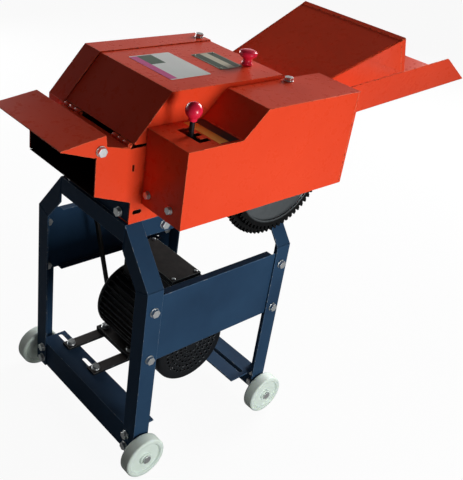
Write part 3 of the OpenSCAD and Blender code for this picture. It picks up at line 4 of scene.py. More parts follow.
import bmesh
import bpy
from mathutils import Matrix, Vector

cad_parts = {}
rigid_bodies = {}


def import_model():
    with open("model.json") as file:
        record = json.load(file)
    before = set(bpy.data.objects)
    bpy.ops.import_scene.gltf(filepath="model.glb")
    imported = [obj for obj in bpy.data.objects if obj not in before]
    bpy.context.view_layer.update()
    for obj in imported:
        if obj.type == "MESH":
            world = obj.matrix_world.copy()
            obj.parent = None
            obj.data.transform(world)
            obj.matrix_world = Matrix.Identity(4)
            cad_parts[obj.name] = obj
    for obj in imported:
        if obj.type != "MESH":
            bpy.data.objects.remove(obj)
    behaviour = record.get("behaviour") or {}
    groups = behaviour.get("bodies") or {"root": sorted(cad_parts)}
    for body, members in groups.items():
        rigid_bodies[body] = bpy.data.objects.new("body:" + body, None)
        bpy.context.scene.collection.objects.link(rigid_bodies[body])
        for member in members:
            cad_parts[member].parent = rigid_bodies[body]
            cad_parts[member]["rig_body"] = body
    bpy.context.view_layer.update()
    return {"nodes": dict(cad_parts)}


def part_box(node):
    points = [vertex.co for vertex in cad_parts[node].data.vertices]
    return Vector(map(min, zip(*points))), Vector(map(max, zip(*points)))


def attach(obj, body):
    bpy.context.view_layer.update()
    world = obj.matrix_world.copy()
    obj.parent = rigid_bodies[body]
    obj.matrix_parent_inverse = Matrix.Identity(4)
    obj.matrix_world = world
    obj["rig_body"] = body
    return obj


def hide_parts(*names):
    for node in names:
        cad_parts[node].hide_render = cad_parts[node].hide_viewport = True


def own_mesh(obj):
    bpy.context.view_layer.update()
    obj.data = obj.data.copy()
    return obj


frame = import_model()
nodes = frame["nodes"]


# Studio: a white floor and backdrop, a near lamp on the gear side, one high at the feed end, one on the belt
# side and a low even fill, so that what faces the discharge end stays in half shade. The camera stands at the
# discharge end on the gear side, a little above the machine.
def linear(hex_colour):
    """The linear colour of an sRGB hex value."""
    channels = [int(hex_colour[i:i + 2], 16) / 255 for i in (1, 3, 5)]
    return tuple(c / 12.92 if c <= 0.04045 else ((c + 0.055) / 1.055) ** 2.4 for c in channels) + (1.0,)


def add_node(tree, kind, settings=None, inputs=None, **named):
    """Adds a node. Each input, by its number or its name, takes an output as a link, or else a value."""
    made = tree.nodes.new(kind)
    for key, value in (settings or {}).items():
        setattr(made, key, value)
    given = dict(inputs or {})
    given.update({name.replace("_", " "): source for name, source in named.items()})
    for key, source in given.items():
        if isinstance(source, bpy.types.NodeSocket):
            tree.links.new(source, made.inputs[key])
        else:
            made.inputs[key].default_value = source
    return made


scene = bpy.context.scene
scene.view_settings.view_transform = "Standard"

camera_data = bpy.data.cameras.new("photo_camera")
camera_data.sensor_width = 36.0
camera_data.lens = 55.657
camera_data.clip_end = 60.0
camera = bpy.data.objects.new("photo_camera", camera_data)
camera.location = (-1.20594, -1.11807, 1.30952)
camera.rotation_euler = (math.radians(59.576), math.radians(-8.017), math.radians(-41.918))
scene.collection.objects.link(camera)
scene.camera = camera

FILL_LEVEL, ROOM_LEVEL, PATCH_LEVEL = 0.06, 0.05, 0.7
world = bpy.data.worlds.new("studio")
world.use_nodes = True
scene.world = world
sky = world.node_tree
sky.nodes.clear()
rays = add_node(sky, "ShaderNodeLightPath").outputs
straight = add_node(sky, "ShaderNodeMath", {"operation": "MAXIMUM"},
                    {0: rays["Is Camera Ray"], 1: rays["Is Transmission Ray"]})
seen = add_node(sky, "ShaderNodeMath", {"operation": "MAXIMUM"},
                {0: straight.outputs[0], 1: rays["Is Glossy Ray"]})
fill = add_node(sky, "ShaderNodeBackground", Color=linear("#FFF0F0"), Strength=FILL_LEVEL)
# Gloss sees a dim room with a brighter patch low down on the belt side.
around = add_node(sky, "ShaderNodeTexCoord").outputs["Generated"]
towards = add_node(sky, "ShaderNodeSeparateXYZ", inputs={0: around}).outputs
belt_side = add_node(sky, "ShaderNodeMapRange", Value=towards["Y"],
                     From_Min=0.45, From_Max=0.66, To_Min=0.0, To_Max=PATCH_LEVEL)
low_down = add_node(sky, "ShaderNodeMapRange", Value=towards["Z"],
                    From_Min=0.26, From_Max=0.34, To_Min=1.0, To_Max=0.0)
patch = add_node(sky, "ShaderNodeMath", {"operation": "MULTIPLY"},
                 {0: belt_side.outputs["Result"], 1: low_down.outputs["Result"]})
room = add_node(sky, "ShaderNodeMath", {"operation": "ADD"}, {0: patch.outputs[0], 1: ROOM_LEVEL})
backdrop = add_node(sky, "ShaderNodeMath", {"operation": "MAXIMUM"},
                    {0: room.outputs[0], 1: straight.outputs[0]})
white = add_node(sky, "ShaderNodeBackground", Color=(1, 1, 1, 1), Strength=backdrop.outputs[0])
mixed = add_node(sky, "ShaderNodeMixShader",
                 inputs={0: seen.outputs[0], 1: fill.outputs[0], 2: white.outputs[0]})
add_node(sky, "ShaderNodeOutputWorld", Surface=mixed.outputs[0])

for lamp_name, lamp_place, lamp_aim, lamp_size, lamp_watts in (
        ("gear_side_lamp", (-0.18, -1.75, 0.65), (-0.18, 0.0, 0.60), 0.55, 21.5),
        ("feed_end_lamp", (2.9, 0.5, 1.95), (0.0, 0.0, 0.8), 1.4, 128),
        ("belt_side_lamp", (0.0, 3.0, 1.0), (0.0, 0.0, 0.5), 1.2, 45)):
    lamp = bpy.data.lights.new(lamp_name, "AREA")
    lamp.size = lamp_size
    lamp.energy = lamp_watts
    lamp_object = bpy.data.objects.new(lamp_name, lamp)
    lamp_object.location = lamp_place
    lamp_object.rotation_euler = (Vector(lamp_aim) - Vector(lamp_place)).to_track_quat("-Z", "Y").to_euler()
    scene.collection.objects.link(lamp_object)


def new_material(name):
    """A material with an empty node tree, and that tree."""
    made = bpy.data.materials.new(name)
    made.use_nodes = True
    made.node_tree.nodes.clear()
    return made, made.node_tree


FLOOR_R = 24.0
SEEN_GLOW, MIRRORED_GLOW = 0.86, 0.04
floor_mesh = bmesh.new()
bmesh.ops.create_circle(floor_mesh, cap_ends=True, segments=96, radius=FLOOR_R)
floor_data = bpy.data.meshes.new("studio_floor")
floor_mesh.to_mesh(floor_data)
floor_mesh.free()
floor = bpy.data.objects.new("studio_floor", floor_data)
scene.collection.objects.link(floor)
floor_paint, paper = new_material("pale_floor")
matt = add_node(paper, "ShaderNodeBsdfDiffuse", Color=linear("#8E8F8F"))
glow = add_node(paper, "ShaderNodeEmission", Color=(1, 1, 1, 1), Strength=1.09)
paper_rays = add_node(paper, "ShaderNodeLightPath").outputs
direct = add_node(paper, "ShaderNodeMath", {"operation": "MULTIPLY"},
                  {0: paper_rays["Is Camera Ray"], 1: SEEN_GLOW})
mirrored = add_node(paper, "ShaderNodeMath", {"operation": "MULTIPLY"},
                    {0: paper_rays["Is Glossy Ray"], 1: MIRRORED_GLOW})
shown = add_node(paper, "ShaderNodeMath", {"operation": "ADD"},
                 {0: direct.outputs[0], 1: mirrored.outputs[0]})
layered = add_node(paper, "ShaderNodeMixShader",
                   inputs={0: shown.outputs[0], 1: matt.outputs[0], 2: glow.outputs[0]})
add_node(paper, "ShaderNodeOutputMaterial", Surface=layered.outputs[0])
floor_data.materials.append(floor_paint)


# Stand: four bent legs, the top frame, two slotted cross members and two side panels, cut and folded from
# mild steel, welded and bolted together and sprayed with dark blue satin enamel. The edges are rounded as a
# shear and a brake leave them; along them a lighter blue is a painted highlight, with the paint rubbed off in
# places.
CLOUD_MM, SPECK_MM, BUCKLE_MM, CHIP_MM, RUB_MM = 160, 22, 190, 14, 9
DUST = "#C9B8AE"


def enamel(name, colour, shade, roughness, specular, peel_mm, dust, bare=None):
    """Sprayed enamel: faint clouds, orange peel, slight buckles, specks and a film of dust on what faces up.
    With a bare colour, the paint is rubbed off in short lengths, as along an edge."""
    paint, tree = new_material(name)
    place = add_node(tree, "ShaderNodeTexCoord").outputs["Object"]
    clouds = add_node(tree, "ShaderNodeTexNoise", Vector=place, Scale=1000 / CLOUD_MM,
                      Detail=4.0, Roughness=0.55)
    cloudy = add_node(tree, "ShaderNodeMapRange", Value=clouds.outputs["Fac"], From_Min=0.35, From_Max=0.72)
    base = add_node(tree, "ShaderNodeMix", {"data_type": "RGBA"},
                    {0: cloudy.outputs["Result"], 6: linear(colour), 7: linear(shade)})
    specks = add_node(tree, "ShaderNodeTexNoise", Vector=place, Scale=1000 / SPECK_MM,
                      Detail=6.0, Roughness=0.7)
    normal = add_node(tree, "ShaderNodeNewGeometry").outputs["Normal"]
    facing = add_node(tree, "ShaderNodeSeparateXYZ", inputs={0: normal})
    up = add_node(tree, "ShaderNodeMapRange", Value=facing.outputs["Z"], From_Min=0.55, To_Max=dust)
    film = add_node(tree, "ShaderNodeMath", {"operation": "MULTIPLY"},
                    {0: up.outputs["Result"], 1: specks.outputs["Fac"]})
    dusty = add_node(tree, "ShaderNodeMix", {"data_type": "RGBA"},
                     {0: film.outputs[0], 6: base.outputs[2], 7: linear(DUST)})
    # A few small chips in a darker tone of the paint, or along an edge what shows where it is rubbed off.
    chips = add_node(tree, "ShaderNodeTexNoise", Vector=place, Scale=1000 / (RUB_MM if bare else CHIP_MM),
                     Detail=2.0, Roughness=0.4)
    chip_mix = add_node(tree, "ShaderNodeMapRange", Value=chips.outputs["Fac"],
                        From_Min=0.56 if bare else 0.76, From_Max=0.64 if bare else 0.80,
                        To_Max=0.75 if bare else 0.15)
    chipped = add_node(tree, "ShaderNodeMix", {"data_type": "RGBA"},
                       {0: chip_mix.outputs["Result"], 6: dusty.outputs[2], 7: linear(bare or shade)})
    rough = add_node(tree, "ShaderNodeMapRange", Value=specks.outputs["Fac"],
                     To_Min=roughness - 0.05, To_Max=roughness + 0.10)
    buckles = add_node(tree, "ShaderNodeTexNoise", Vector=place, Scale=1000 / BUCKLE_MM, Detail=1.0)
    buckled = add_node(tree, "ShaderNodeBump", Height=buckles.outputs["Fac"], Strength=0.25, Distance=0.006)
    peel = add_node(tree, "ShaderNodeTexNoise", Vector=place, Scale=1000 / peel_mm, Detail=2.0)
    peeled = add_node(tree, "ShaderNodeBump", Height=peel.outputs["Fac"], Normal=buckled.outputs["Normal"],
                      Strength=0.12, Distance=0.0006)
    surface = add_node(tree, "ShaderNodeBsdfPrincipled", Base_Color=chipped.outputs[2],
                       Roughness=rough.outputs["Result"], Normal=peeled.outputs["Normal"],
                       IOR=1.5, Specular_IOR_Level=specular)
    add_node(tree, "ShaderNodeOutputMaterial", Surface=surface.outputs["BSDF"])
    return paint


def new_piece(name, work, finishes, body):
    """Makes a piece of a bmesh, with its finishes, that rides on a body."""
    data = bpy.data.meshes.new(name)
    work.to_mesh(data)
    work.free()
    for finish in finishes:
        data.materials.append(finish)
    piece = bpy.data.objects.new(name, data)
    scene.collection.objects.link(piece)
    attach(piece, body)
    return piece


def merged_copy(name):
    """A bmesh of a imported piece, with its doubled points merged."""
    work = bmesh.new()
    work.from_mesh(nodes[name].data)
    bmesh.ops.remove_doubles(work, verts=work.verts, dist=0.00001)
    return work


FOLD_ANGLE, CUT_ANGLE, CURVE_ANGLE = math.radians(12), math.radians(28), math.radians(1)
WIDE_FACE_M2 = 0.001
INNER = 2


def eased(finishes, names, radius_mm, inner=None, narrow=0.6):
    """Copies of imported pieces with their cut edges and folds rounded. The rounded strips take the second
    finish, and the faces that "inner" picks take the third. Corners under the narrow angle stay sharp."""
    for name in names:
        work = merged_copy(name)
        bmesh.ops.dissolve_limit(work, angle_limit=math.radians(0.5), verts=work.verts, edges=work.edges)
        weight = work.edges.layers.float.new("bevel_weight_edge")
        # A shallow fold lies between two wide faces; a step of a round surface lies between narrow ones.
        cut = [edge for edge in work.edges if edge.calc_face_angle(0.0) > (
            FOLD_ANGLE if min(face.calc_area() for face in edge.link_faces) > WIDE_FACE_M2 else CUT_ANGLE)]
        for edge in cut:
            edge[weight] = 1.0
        for face in work.faces:
            face.smooth = any(not edge[weight] and edge.calc_face_angle(0.0) > CURVE_ANGLE
                              for edge in face.edges)
            face.material_index = INNER if inner and inner(face) else 0
        # Where cut edges meet in a narrow point they stay sharp, as a rounding would overshoot it. Creases
        # between inner faces stay sharp too, so that no strip of the second finish runs along them.
        pointed = [edge for edge in cut for end in edge.verts for other in end.link_edges
                   if other != edge and other[weight]
                   and (edge.other_vert(end).co - end.co).angle(other.other_vert(end).co - end.co) < narrow]
        creases = [edge for edge in cut if all(face.material_index == INNER for face in edge.link_faces)]
        for edge in pointed + creases:
            edge[weight] = 0.0
            edge.smooth = False
        piece = new_piece(name + "_eased", work, finishes, nodes[name]["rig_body"])
        rounding = piece.modifiers.new("edge_rounding", "BEVEL")
        rounding.limit_method = "WEIGHT"
        rounding.width = radius_mm / 1000
        rounding.segments = 2
        rounding.use_clamp_overlap = False
        rounding.harden_normals = True
        rounding.material = -1 if finishes[1] is finishes[0] else 1
        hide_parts(name)


navy_enamel = enamel("navy_satin_enamel", "#28435E", "#213851",
                     roughness=0.42, specular=0.05, peel_mm=4.0, dust=0.03)
# Lighter blue on the rounded edges is a painted highlight; its spots of bare steel are rubbed-off paint.
navy_edge_highlight_and_wear = enamel("navy_enamel_edge_painted_highlight_and_wear", "#45607C", "#36506A",
                   roughness=0.38, specular=0.3, peel_mm=4.0, dust=0.0, bare="#8C949A")
LEGS = ("near_front_leg", "near_rear_leg", "far_front_leg", "far_rear_leg")
eased((navy_enamel, navy_edge_highlight_and_wear), LEGS + ("top_frame", "front_cross_member", "rear_cross_member",
                                        "near_side_panel", "far_side_panel"), radius_mm=0.9)


# Welds: the legs were cut, bent and closed with a short bead at the knee, and beaded to the ends of the top
# frame, all painted over. A ripple is about 3 mm long.
def add_part(work, part):
    """Moves what one bmesh holds into another."""
    passing = bpy.data.meshes.new("passing")
    part.to_mesh(passing)
    part.free()
    work.from_mesh(passing)
    bpy.data.meshes.remove(passing)


RIPPLE_MM = 3.2


def weld(work, start, end, outwards, width_mm):
    """A rippled bead, half as high as it is wide, with narrower ends."""
    along = (end - start).normalized()
    across = along.cross(outwards).normalized()
    length = (end - start).length
    ripples = max(4, round(length * 1000 / RIPPLE_MM))
    bead = bmesh.new()
    bmesh.ops.create_cone(bead, cap_ends=True, segments=10, radius1=width_mm / 2000, radius2=width_mm / 2000,
                          depth=length)
    long_edges = [edge for edge in bead.edges if edge.calc_length() > length / 2]
    bmesh.ops.subdivide_edges(bead, edges=long_edges, cuts=4 * ripples - 1, use_grid_fill=True)
    for vert in bead.verts:
        turn = 2 * math.pi * ripples * (vert.co.z / length + 0.5)
        swell = 0.74 + 0.26 * math.cos(turn) if abs(vert.co.z) < 0.49 * length else 0.5
        middle = (start + end) / 2 + along * vert.co.z
        vert.co = middle + across * vert.co.x * swell + outwards * vert.co.y * swell * 0.5
    add_part(work, bead)


KNEE_DROP, KNEE_SLANT, KNEE_BEAD, HEAD_BEAD = 0.110, 0.0135, 0.039, 0.060
KNEE_GAP, HEAD_GAP = 0.001, 0.002
LEAN = math.radians(20)
welds = bmesh.new()
for leg in LEGS:
    leg_low, leg_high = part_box(leg)
    front, near = "front" in leg, "near" in leg
    knee = Vector((leg_low.x if front else leg_high.x, leg_low.y if near else leg_high.y,
                   leg_high.z - KNEE_DROP))
    head = Vector((knee.x, leg_high.y if near else leg_low.y, leg_high.z))
    end_way, side_way = -1 if front else 1, -1 if near else 1
    end_face = Vector((end_way, 0, 0))
    side_face = Vector((0, side_way * math.cos(LEAN), math.sin(LEAN)))
    weld(welds, knee - Vector((end_way * KNEE_GAP, 0, 0)), knee - Vector((end_way * KNEE_BEAD, 0, 0)),
         side_face, width_mm=4.0)
    weld(welds, knee - Vector((0, side_way * KNEE_GAP, 0)),
         knee - Vector((0, side_way * KNEE_BEAD, KNEE_SLANT)), end_face, width_mm=4.0)
    weld(welds, head - Vector((0, 0, HEAD_BEAD)), head - Vector((0, 0, HEAD_GAP)), end_face, width_mm=5.0)
bmesh.ops.recalc_face_normals(welds, faces=welds.faces)
for face in welds.faces:
    face.smooth = True
new_piece("stand_welds", welds, (navy_enamel,), "stand")


# Bolts: hexagon bolts, nuts and washers with bright zinc plating, a little dull and blotched, and the turned
# axle bolts of the wheels.
BLOTCH_MM = 7
zinc, plating = new_material("zinc_plated_steel")
plate_place = add_node(plating, "ShaderNodeTexCoord").outputs["Object"]
blotch = add_node(plating, "ShaderNodeTexNoise", Vector=plate_place, Scale=1000 / BLOTCH_MM, Detail=5.0)
plate_colour = add_node(plating, "ShaderNodeMix", {"data_type": "RGBA"},
                        {0: blotch.outputs["Fac"], 6: linear("#F4F6F6"), 7: linear("#BFC6C6")})
plate_rough = add_node(plating, "ShaderNodeMapRange", Value=blotch.outputs["Fac"], To_Min=0.22, To_Max=0.48)
plated = add_node(plating, "ShaderNodeBsdfPrincipled", Base_Color=plate_colour.outputs[2],
                  Roughness=plate_rough.outputs["Result"], Metallic=1.0)
add_node(plating, "ShaderNodeOutputMaterial", Surface=plated.outputs["BSDF"])
eased((zinc, zinc), ("frame_bolts", "motor_bolts", "body_bolts", "wheel_axles"), radius_mm=0.7)


# Springs: two coils of round wire, plated like the bolts. They stand between the upper roller's blocks and
# the feed cover and press the blocks down. The real coils shorten as the roller lifts; this copy keeps its
# length.
coils = merged_copy("roller_springs")
bmesh.ops.join_triangles(coils, faces=coils.faces, angle_face_threshold=0.8, angle_shape_threshold=0.8)
for face in coils.faces:
    face.smooth = True
springs = new_piece("roller_springs_wound", coils, (zinc,), nodes["roller_springs"]["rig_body"])
round_wire = springs.modifiers.new("round_wire", "SUBSURF")
round_wire.levels = round_wire.render_levels = 2
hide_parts("roller_springs")
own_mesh(springs)


# Wheels: injection-moulded nylon, pale grey-green and slightly waxy, so that a little light soaks in, with
# shallow scuffs. They turn on the axle bolts at the feet of the legs.
SCUFF_MM = 26
nylon, wax = new_material("moulded_nylon")
wheel_place = add_node(wax, "ShaderNodeTexCoord").outputs["Object"]
flow = add_node(wax, "ShaderNodeTexNoise", Vector=wheel_place, Scale=1000 / SCUFF_MM,
                Detail=5.0, Roughness=0.6)
tone = add_node(wax, "ShaderNodeMix", {"data_type": "RGBA"},
                {0: flow.outputs["Fac"], 6: linear("#EAF7EF"), 7: linear("#D3E3D8")})
scuff = add_node(wax, "ShaderNodeBump", Height=flow.outputs["Fac"], Strength=0.2, Distance=0.001)
waxy = add_node(wax, "ShaderNodeBsdfPrincipled", Base_Color=tone.outputs[2], Normal=scuff.outputs["Normal"],
                Roughness=0.45, IOR=1.53, Subsurface_Weight=0.15, Subsurface_Radius=(0.004, 0.004, 0.003))
add_node(wax, "ShaderNodeOutputMaterial", Surface=waxy.outputs["BSDF"])
eased((nylon, nylon), ("near_front_wheel", "near_rear_wheel", "far_front_wheel", "far_rear_wheel"),
      radius_mm=1.2)


# Motor: cast finned housing and end bell, pressed fan cover and folded terminal box, all in black enamel and
# greyed by dust; it stands on two black-sprayed flat bars. Along the rounded edges a lighter grey is a
# painted highlight, on the terminal box a pale one, with rubbed spots.
black_enamel = enamel("black_motor_enamel", "#121519", "#0C0E11",
                      roughness=0.45, specular=0.2, peel_mm=2.5, dust=0.12)
# Lighter grey on the rounded edges is a painted highlight; its spots of bare metal are rubbed-off paint.
black_edge_highlight_and_wear = enamel("black_enamel_edge_painted_highlight_and_wear", "#2C3136", "#1D2125",
                    roughness=0.4, specular=0.4, peel_mm=2.5, dust=0.0, bare="#6A6F72")
eased((black_enamel, black_edge_highlight_and_wear), ("motor_housing", "motor_end_bell", "motor_fan_cover", "motor_rails"),
      radius_mm=0.8)
# Pale grey on the terminal box's rounded edges is a painted highlight, paler still in spots along them.
pale_edge_highlight = enamel("black_enamel_pale_painted_edge_highlight", "#8E9A96", "#6E7A76",
                     roughness=0.45, specular=0.3, peel_mm=2.5, dust=0.0, bare="#B9C4C0")
eased((black_enamel, pale_edge_highlight), ("motor_terminal_box",), radius_mm=0.9)


# Lid screws: four plated steel pan heads with a pressed recess, near the corners of the terminal box, that
# hold its lid down.
def pan_head(work, centre, radius_mm, height_mm):
    """A low domed head on the plane through its centre, with a recess pressed into it."""
    radius, height = radius_mm / 1000, height_mm / 1000
    head = bmesh.new()
    bmesh.ops.create_cone(head, cap_ends=True, segments=28, radius1=radius, radius2=radius, depth=height)
    rim = [edge for edge in head.edges if all(vert.co.z > 0 for vert in edge.verts)]
    bmesh.ops.bevel(head, geom=rim, offset=0.6 * height, offset_type="OFFSET", segments=4, profile=0.5,
                    affect="EDGES", material=-1)
    crown = max(head.faces, key=lambda face: face.calc_center_median().z)
    bmesh.ops.inset_region(head, faces=[crown], thickness=0.42 * radius, depth=0.0)
    bmesh.ops.inset_region(head, faces=[crown], thickness=0.04 * radius, depth=-0.3 * height)
    bmesh.ops.translate(head, verts=head.verts, vec=centre + Vector((0, 0, height / 2)))
    add_part(work, head)


# The box's cable gland reaches past the lid, towards the feed end.
SCREW_INSET_X, SCREW_INSET_Y, GLAND_REACH = 0.0127, 0.012, 0.019
box_low, box_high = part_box("motor_terminal_box")
lid_screws = bmesh.new()
for screw_x in (box_low.x + SCREW_INSET_X, box_high.x - GLAND_REACH - SCREW_INSET_X):
    for screw_y in (box_low.y + SCREW_INSET_Y, box_high.y - SCREW_INSET_Y):
        pan_head(lid_screws, Vector((screw_x, screw_y, box_high.z)), radius_mm=4.5, height_mm=2.8)
bmesh.ops.recalc_face_normals(lid_screws, faces=lid_screws.faces)
new_piece("terminal_lid_screws", lid_screws, (zinc,), "stand")


# Fan: moulded black polypropylene, matt and a little dusty, pushed onto the motor's shaft behind the
# perforated cover.
def dress(finish, *names):
    """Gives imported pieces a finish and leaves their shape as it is."""
    for name in names:
        data = nodes[name].data
        data.materials.clear()
        data.materials.append(finish)


black_plastic = enamel("black_polypropylene", "#101112", "#17181A",
                       roughness=0.6, specular=0.4, peel_mm=1.8, dust=0.1)
dress(black_plastic, "motor_fan")


# Belt: a wrapped V-belt, black rubber with a dull and dusty woven cover, that runs in the grooves of the
# motor's and the rotor's pulley.
rubber = enamel("belt_rubber", "#141414", "#1E1D1C", roughness=0.8, specular=0.25, peel_mm=1.2, dust=0.25)
dress(rubber, "drive_belt")


# Gears, rollers and shafts: turned and hobbed steel and iron, oiled. The webs of the double gear are turned
# bright, and its teeth are dark with grease. The rotor's pulley, the knife carrier, the blocks and the
# lever's bracket are dull, dark castings.
OIL_MM, GREASE_EDGE_MM = 45, 2


def bare_metal(name, colour, shade, least_rough, most_rough, grit_mm, axis=None, greased_mm=0):
    """Machined metal: fine grit in the gloss and a thin uneven film of oil in the colour.
    With an axis, what lies further from it than greased_mm is black with grease."""
    metal, tree = new_material(name)
    place = add_node(tree, "ShaderNodeTexCoord").outputs["Object"]
    film = add_node(tree, "ShaderNodeTexNoise", Vector=place, Scale=1000 / OIL_MM, Detail=6.0, Roughness=0.65)
    finished = add_node(tree, "ShaderNodeMix", {"data_type": "RGBA"},
                        {0: film.outputs["Fac"], 6: linear(colour), 7: linear(shade)})
    grit = add_node(tree, "ShaderNodeTexNoise", Vector=place, Scale=1000 / grit_mm, Detail=3.0)
    rough = add_node(tree, "ShaderNodeMapRange", Value=grit.outputs["Fac"],
                     To_Min=least_rough, To_Max=most_rough)
    bump = add_node(tree, "ShaderNodeBump", Height=grit.outputs["Fac"], Strength=0.15, Distance=0.0004)
    if axis:
        centred = add_node(tree, "ShaderNodeMapping", Vector=place, Location=(-axis.x, 0, -axis.z),
                           Scale=(1, 0, 1))
        reach = add_node(tree, "ShaderNodeVectorMath", {"operation": "LENGTH"}, {0: centred.outputs[0]})
        outer = add_node(tree, "ShaderNodeMapRange", Value=reach.outputs["Value"],
                         From_Min=(greased_mm - GREASE_EDGE_MM) / 1000,
                         From_Max=(greased_mm + GREASE_EDGE_MM) / 1000)
        finished = add_node(tree, "ShaderNodeMix", {"data_type": "RGBA"},
                            {0: outer.outputs["Result"], 6: finished.outputs[2], 7: linear("#1B1C1D")})
    surface = add_node(tree, "ShaderNodeBsdfPrincipled", Base_Color=finished.outputs[2],
                       Roughness=rough.outputs["Result"], Normal=bump.outputs["Normal"], Metallic=1.0)
    add_node(tree, "ShaderNodeOutputMaterial", Surface=surface.outputs["BSDF"])
    return metal


gear_iron = bare_metal("oiled_gear_iron", "#4A4C4D", "#2C2E30",
                       least_rough=0.35, most_rough=0.6, grit_mm=3.0)
dress(gear_iron, "lower_roller_gear", "upper_roller_gear", "sliding_pinion")
WEB_R = 113
gear_low, gear_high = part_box("double_gear")
turned_gear = bare_metal("turned_gear_iron", "#8D9396", "#5F6568",
                         least_rough=0.3, most_rough=0.5, grit_mm=3.0,
                         axis=(gear_low + gear_high) / 2, greased_mm=WEB_R)
eased((turned_gear, turned_gear), ("double_gear",), radius_mm=0.4)
turned_steel = bare_metal("turned_steel", "#B4B7B8", "#85898A",
                          least_rough=0.25, most_rough=0.45, grit_mm=2.0)
dress(turned_steel, "rotor_shaft", "motor_shaft", "motor_pulley", "shift_rail", "shift_fork", "lever_yoke",
      "lower_roller", "upper_roller", "rotor_bearings", "lower_roller_bearings", "knives", "shear_bar")
cast_iron = bare_metal("sprayed_cast_iron", "#2E3032", "#1E2021",
                       least_rough=0.5, most_rough=0.75, grit_mm=2.5)
dress(cast_iron, "rotor_pulley", "knife_carrier", "upper_roller_blocks", "lever_bracket")


# Cutter body, guards and feed end: folded 2 and 3 mm sheet with glossy orange-red enamel, chipped along the
# cut edges. Faces inside and underneath take a near-black painted shade, and so does the whole chute floor.
orange_enamel = enamel("orange_gloss_enamel", "#F04B29", "#EB4625",
                       roughness=0.26, specular=0.12, peel_mm=5.0, dust=0.02)
# Lighter orange on the rounded edges is a painted highlight; its dark red-brown spots are rubbed-off paint.
orange_edge_highlight_and_wear = enamel("orange_enamel_edge_painted_highlight_and_wear", "#FA7048", "#E65A34",
                     roughness=0.28, specular=0.3, peel_mm=5.0, dust=0.0, bare="#7A2A1C")
# Near-black painted shade, for the faces where shade falls inside the body and under the flap and hood.
sap_stain = enamel("sap_stained_enamel", "#2A0C07", "#130503",
                   roughness=0.6, specular=0.2, peel_mm=6.0, dust=0.0)
sheet = (orange_enamel, orange_edge_highlight_and_wear, sap_stain)
SHEET_EDGE = 0.7
eased(sheet, ("gear_guard", "belt_guard", "throat_plate", "feed_trough"), SHEET_EDGE)
eased(sheet, ("feed_cover",), SHEET_EDGE, narrow=0.85)
# The chute floor, deep in the mouth, takes the near-black painted shade all over.
eased((sap_stain, sap_stain), ("chute_floor",), SHEET_EDGE)


def inside(face):
    """Whether a face of the body looks down, or across towards the middle of the machine, where the painted
    shade goes.
    """
    return face.normal.z < -0.5 or face.normal.y * face.calc_center_median().y < -0.03


eased(sheet, ("near_side_plate", "far_side_plate", "front_deck"), SHEET_EDGE, inside)


# Discharge flap: folded sheet with the body's orange enamel, which tilts on two bolts. Its underside takes
# the near-black painted shade.
eased(sheet, ("discharge_flap",), SHEET_EDGE, inside)


# Hood: folded sheet with the same enamel, hinged in front and held down by a hand screw; inside it takes the
# near-black painted shade. The hinge pins were sprayed with the body and take the lighter edge enamel, a
# painted highlight.
eased(sheet, ("hood",), SHEET_EDGE, inside)
dress(orange_edge_highlight_and_wear, "hinge_pins")


# Blank plates: a sun-bleached vinyl label and a small riveted aluminium plate on the hood, and a vinyl strip
# beside the lever gate. Each carries plain fields of colour only.
UPWARDS = 0.9
stand_low, stand_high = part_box("top_frame")
STAND_X = (stand_low.x + stand_high.x) / 2


def above(x, y, top):
    """The point of a level top that lies x and y mm from the middle of the stand."""
    return Vector((STAND_X + x / 1000, y / 1000, top))


def blank_plate(top, reach_x, reach_y, cuts_x, cuts_y, pick, corner_mm, thickness_mm, margin_mm):
    """A thin plate on a level top, with round corners and a margin. Its face is cut at the given places, and
    each field takes the finish that pick gives for its centre, and for whether it faces up. Places are in mm
    from the middle of the stand."""
    low, high = above(reach_x[0], reach_y[0], top), above(reach_x[1], reach_y[1], top)
    work = bmesh.new()
    bmesh.ops.create_grid(work, x_segments=1, y_segments=1, size=0.5)
    bmesh.ops.scale(work, vec=(high.x - low.x, high.y - low.y, 1), verts=work.verts)
    bmesh.ops.translate(work, vec=(low + high) / 2, verts=work.verts)
    bmesh.ops.bevel(work, geom=work.verts[:], offset=corner_mm / 1000, offset_type="OFFSET", segments=4,
                    profile=0.5, affect="VERTICES", material=-1)
    raised = bmesh.ops.extrude_face_region(work, geom=work.faces[:], use_keep_orig=True)["geom"]
    bmesh.ops.translate(work, vec=(0, 0, thickness_mm / 1000),
                        verts=[v for v in raised if isinstance(v, bmesh.types.BMVert)])
    bmesh.ops.recalc_face_normals(work, faces=work.faces)
    face_up = [f for f in work.faces if f.normal.z > UPWARDS]
    bmesh.ops.inset_region(work, faces=face_up, thickness=margin_mm / 1000, depth=0.0)
    # The field is what lies within the margin, less a little for rounding.
    margin = 0.91 * margin_mm / 1000
    cuts = [(above(x, 0, top), Vector((1, 0, 0))) for x in cuts_x]
    cuts += [(above(0, y, top), Vector((0, 1, 0))) for y in cuts_y]
    for point, direction in cuts:
        field = [f for f in work.faces if f.normal.z > UPWARDS and all(
            low.x + margin < v.co.x < high.x - margin and low.y + margin < v.co.y < high.y - margin
            for v in f.verts)]
        edges = [e for e in work.edges if any(f in field for f in e.link_faces)]
        points = [v for v in work.verts if any(f in field for f in v.link_faces)]
        bmesh.ops.bisect_plane(work, geom=field + edges + points, dist=1e-6,
                               plane_co=point, plane_no=direction)
    for face in work.faces:
        centre = 1000 * (face.calc_center_median() - above(0, 0, top))
        face.material_index = pick(centre.x, centre.y, face.normal.z > UPWARDS)
    return work


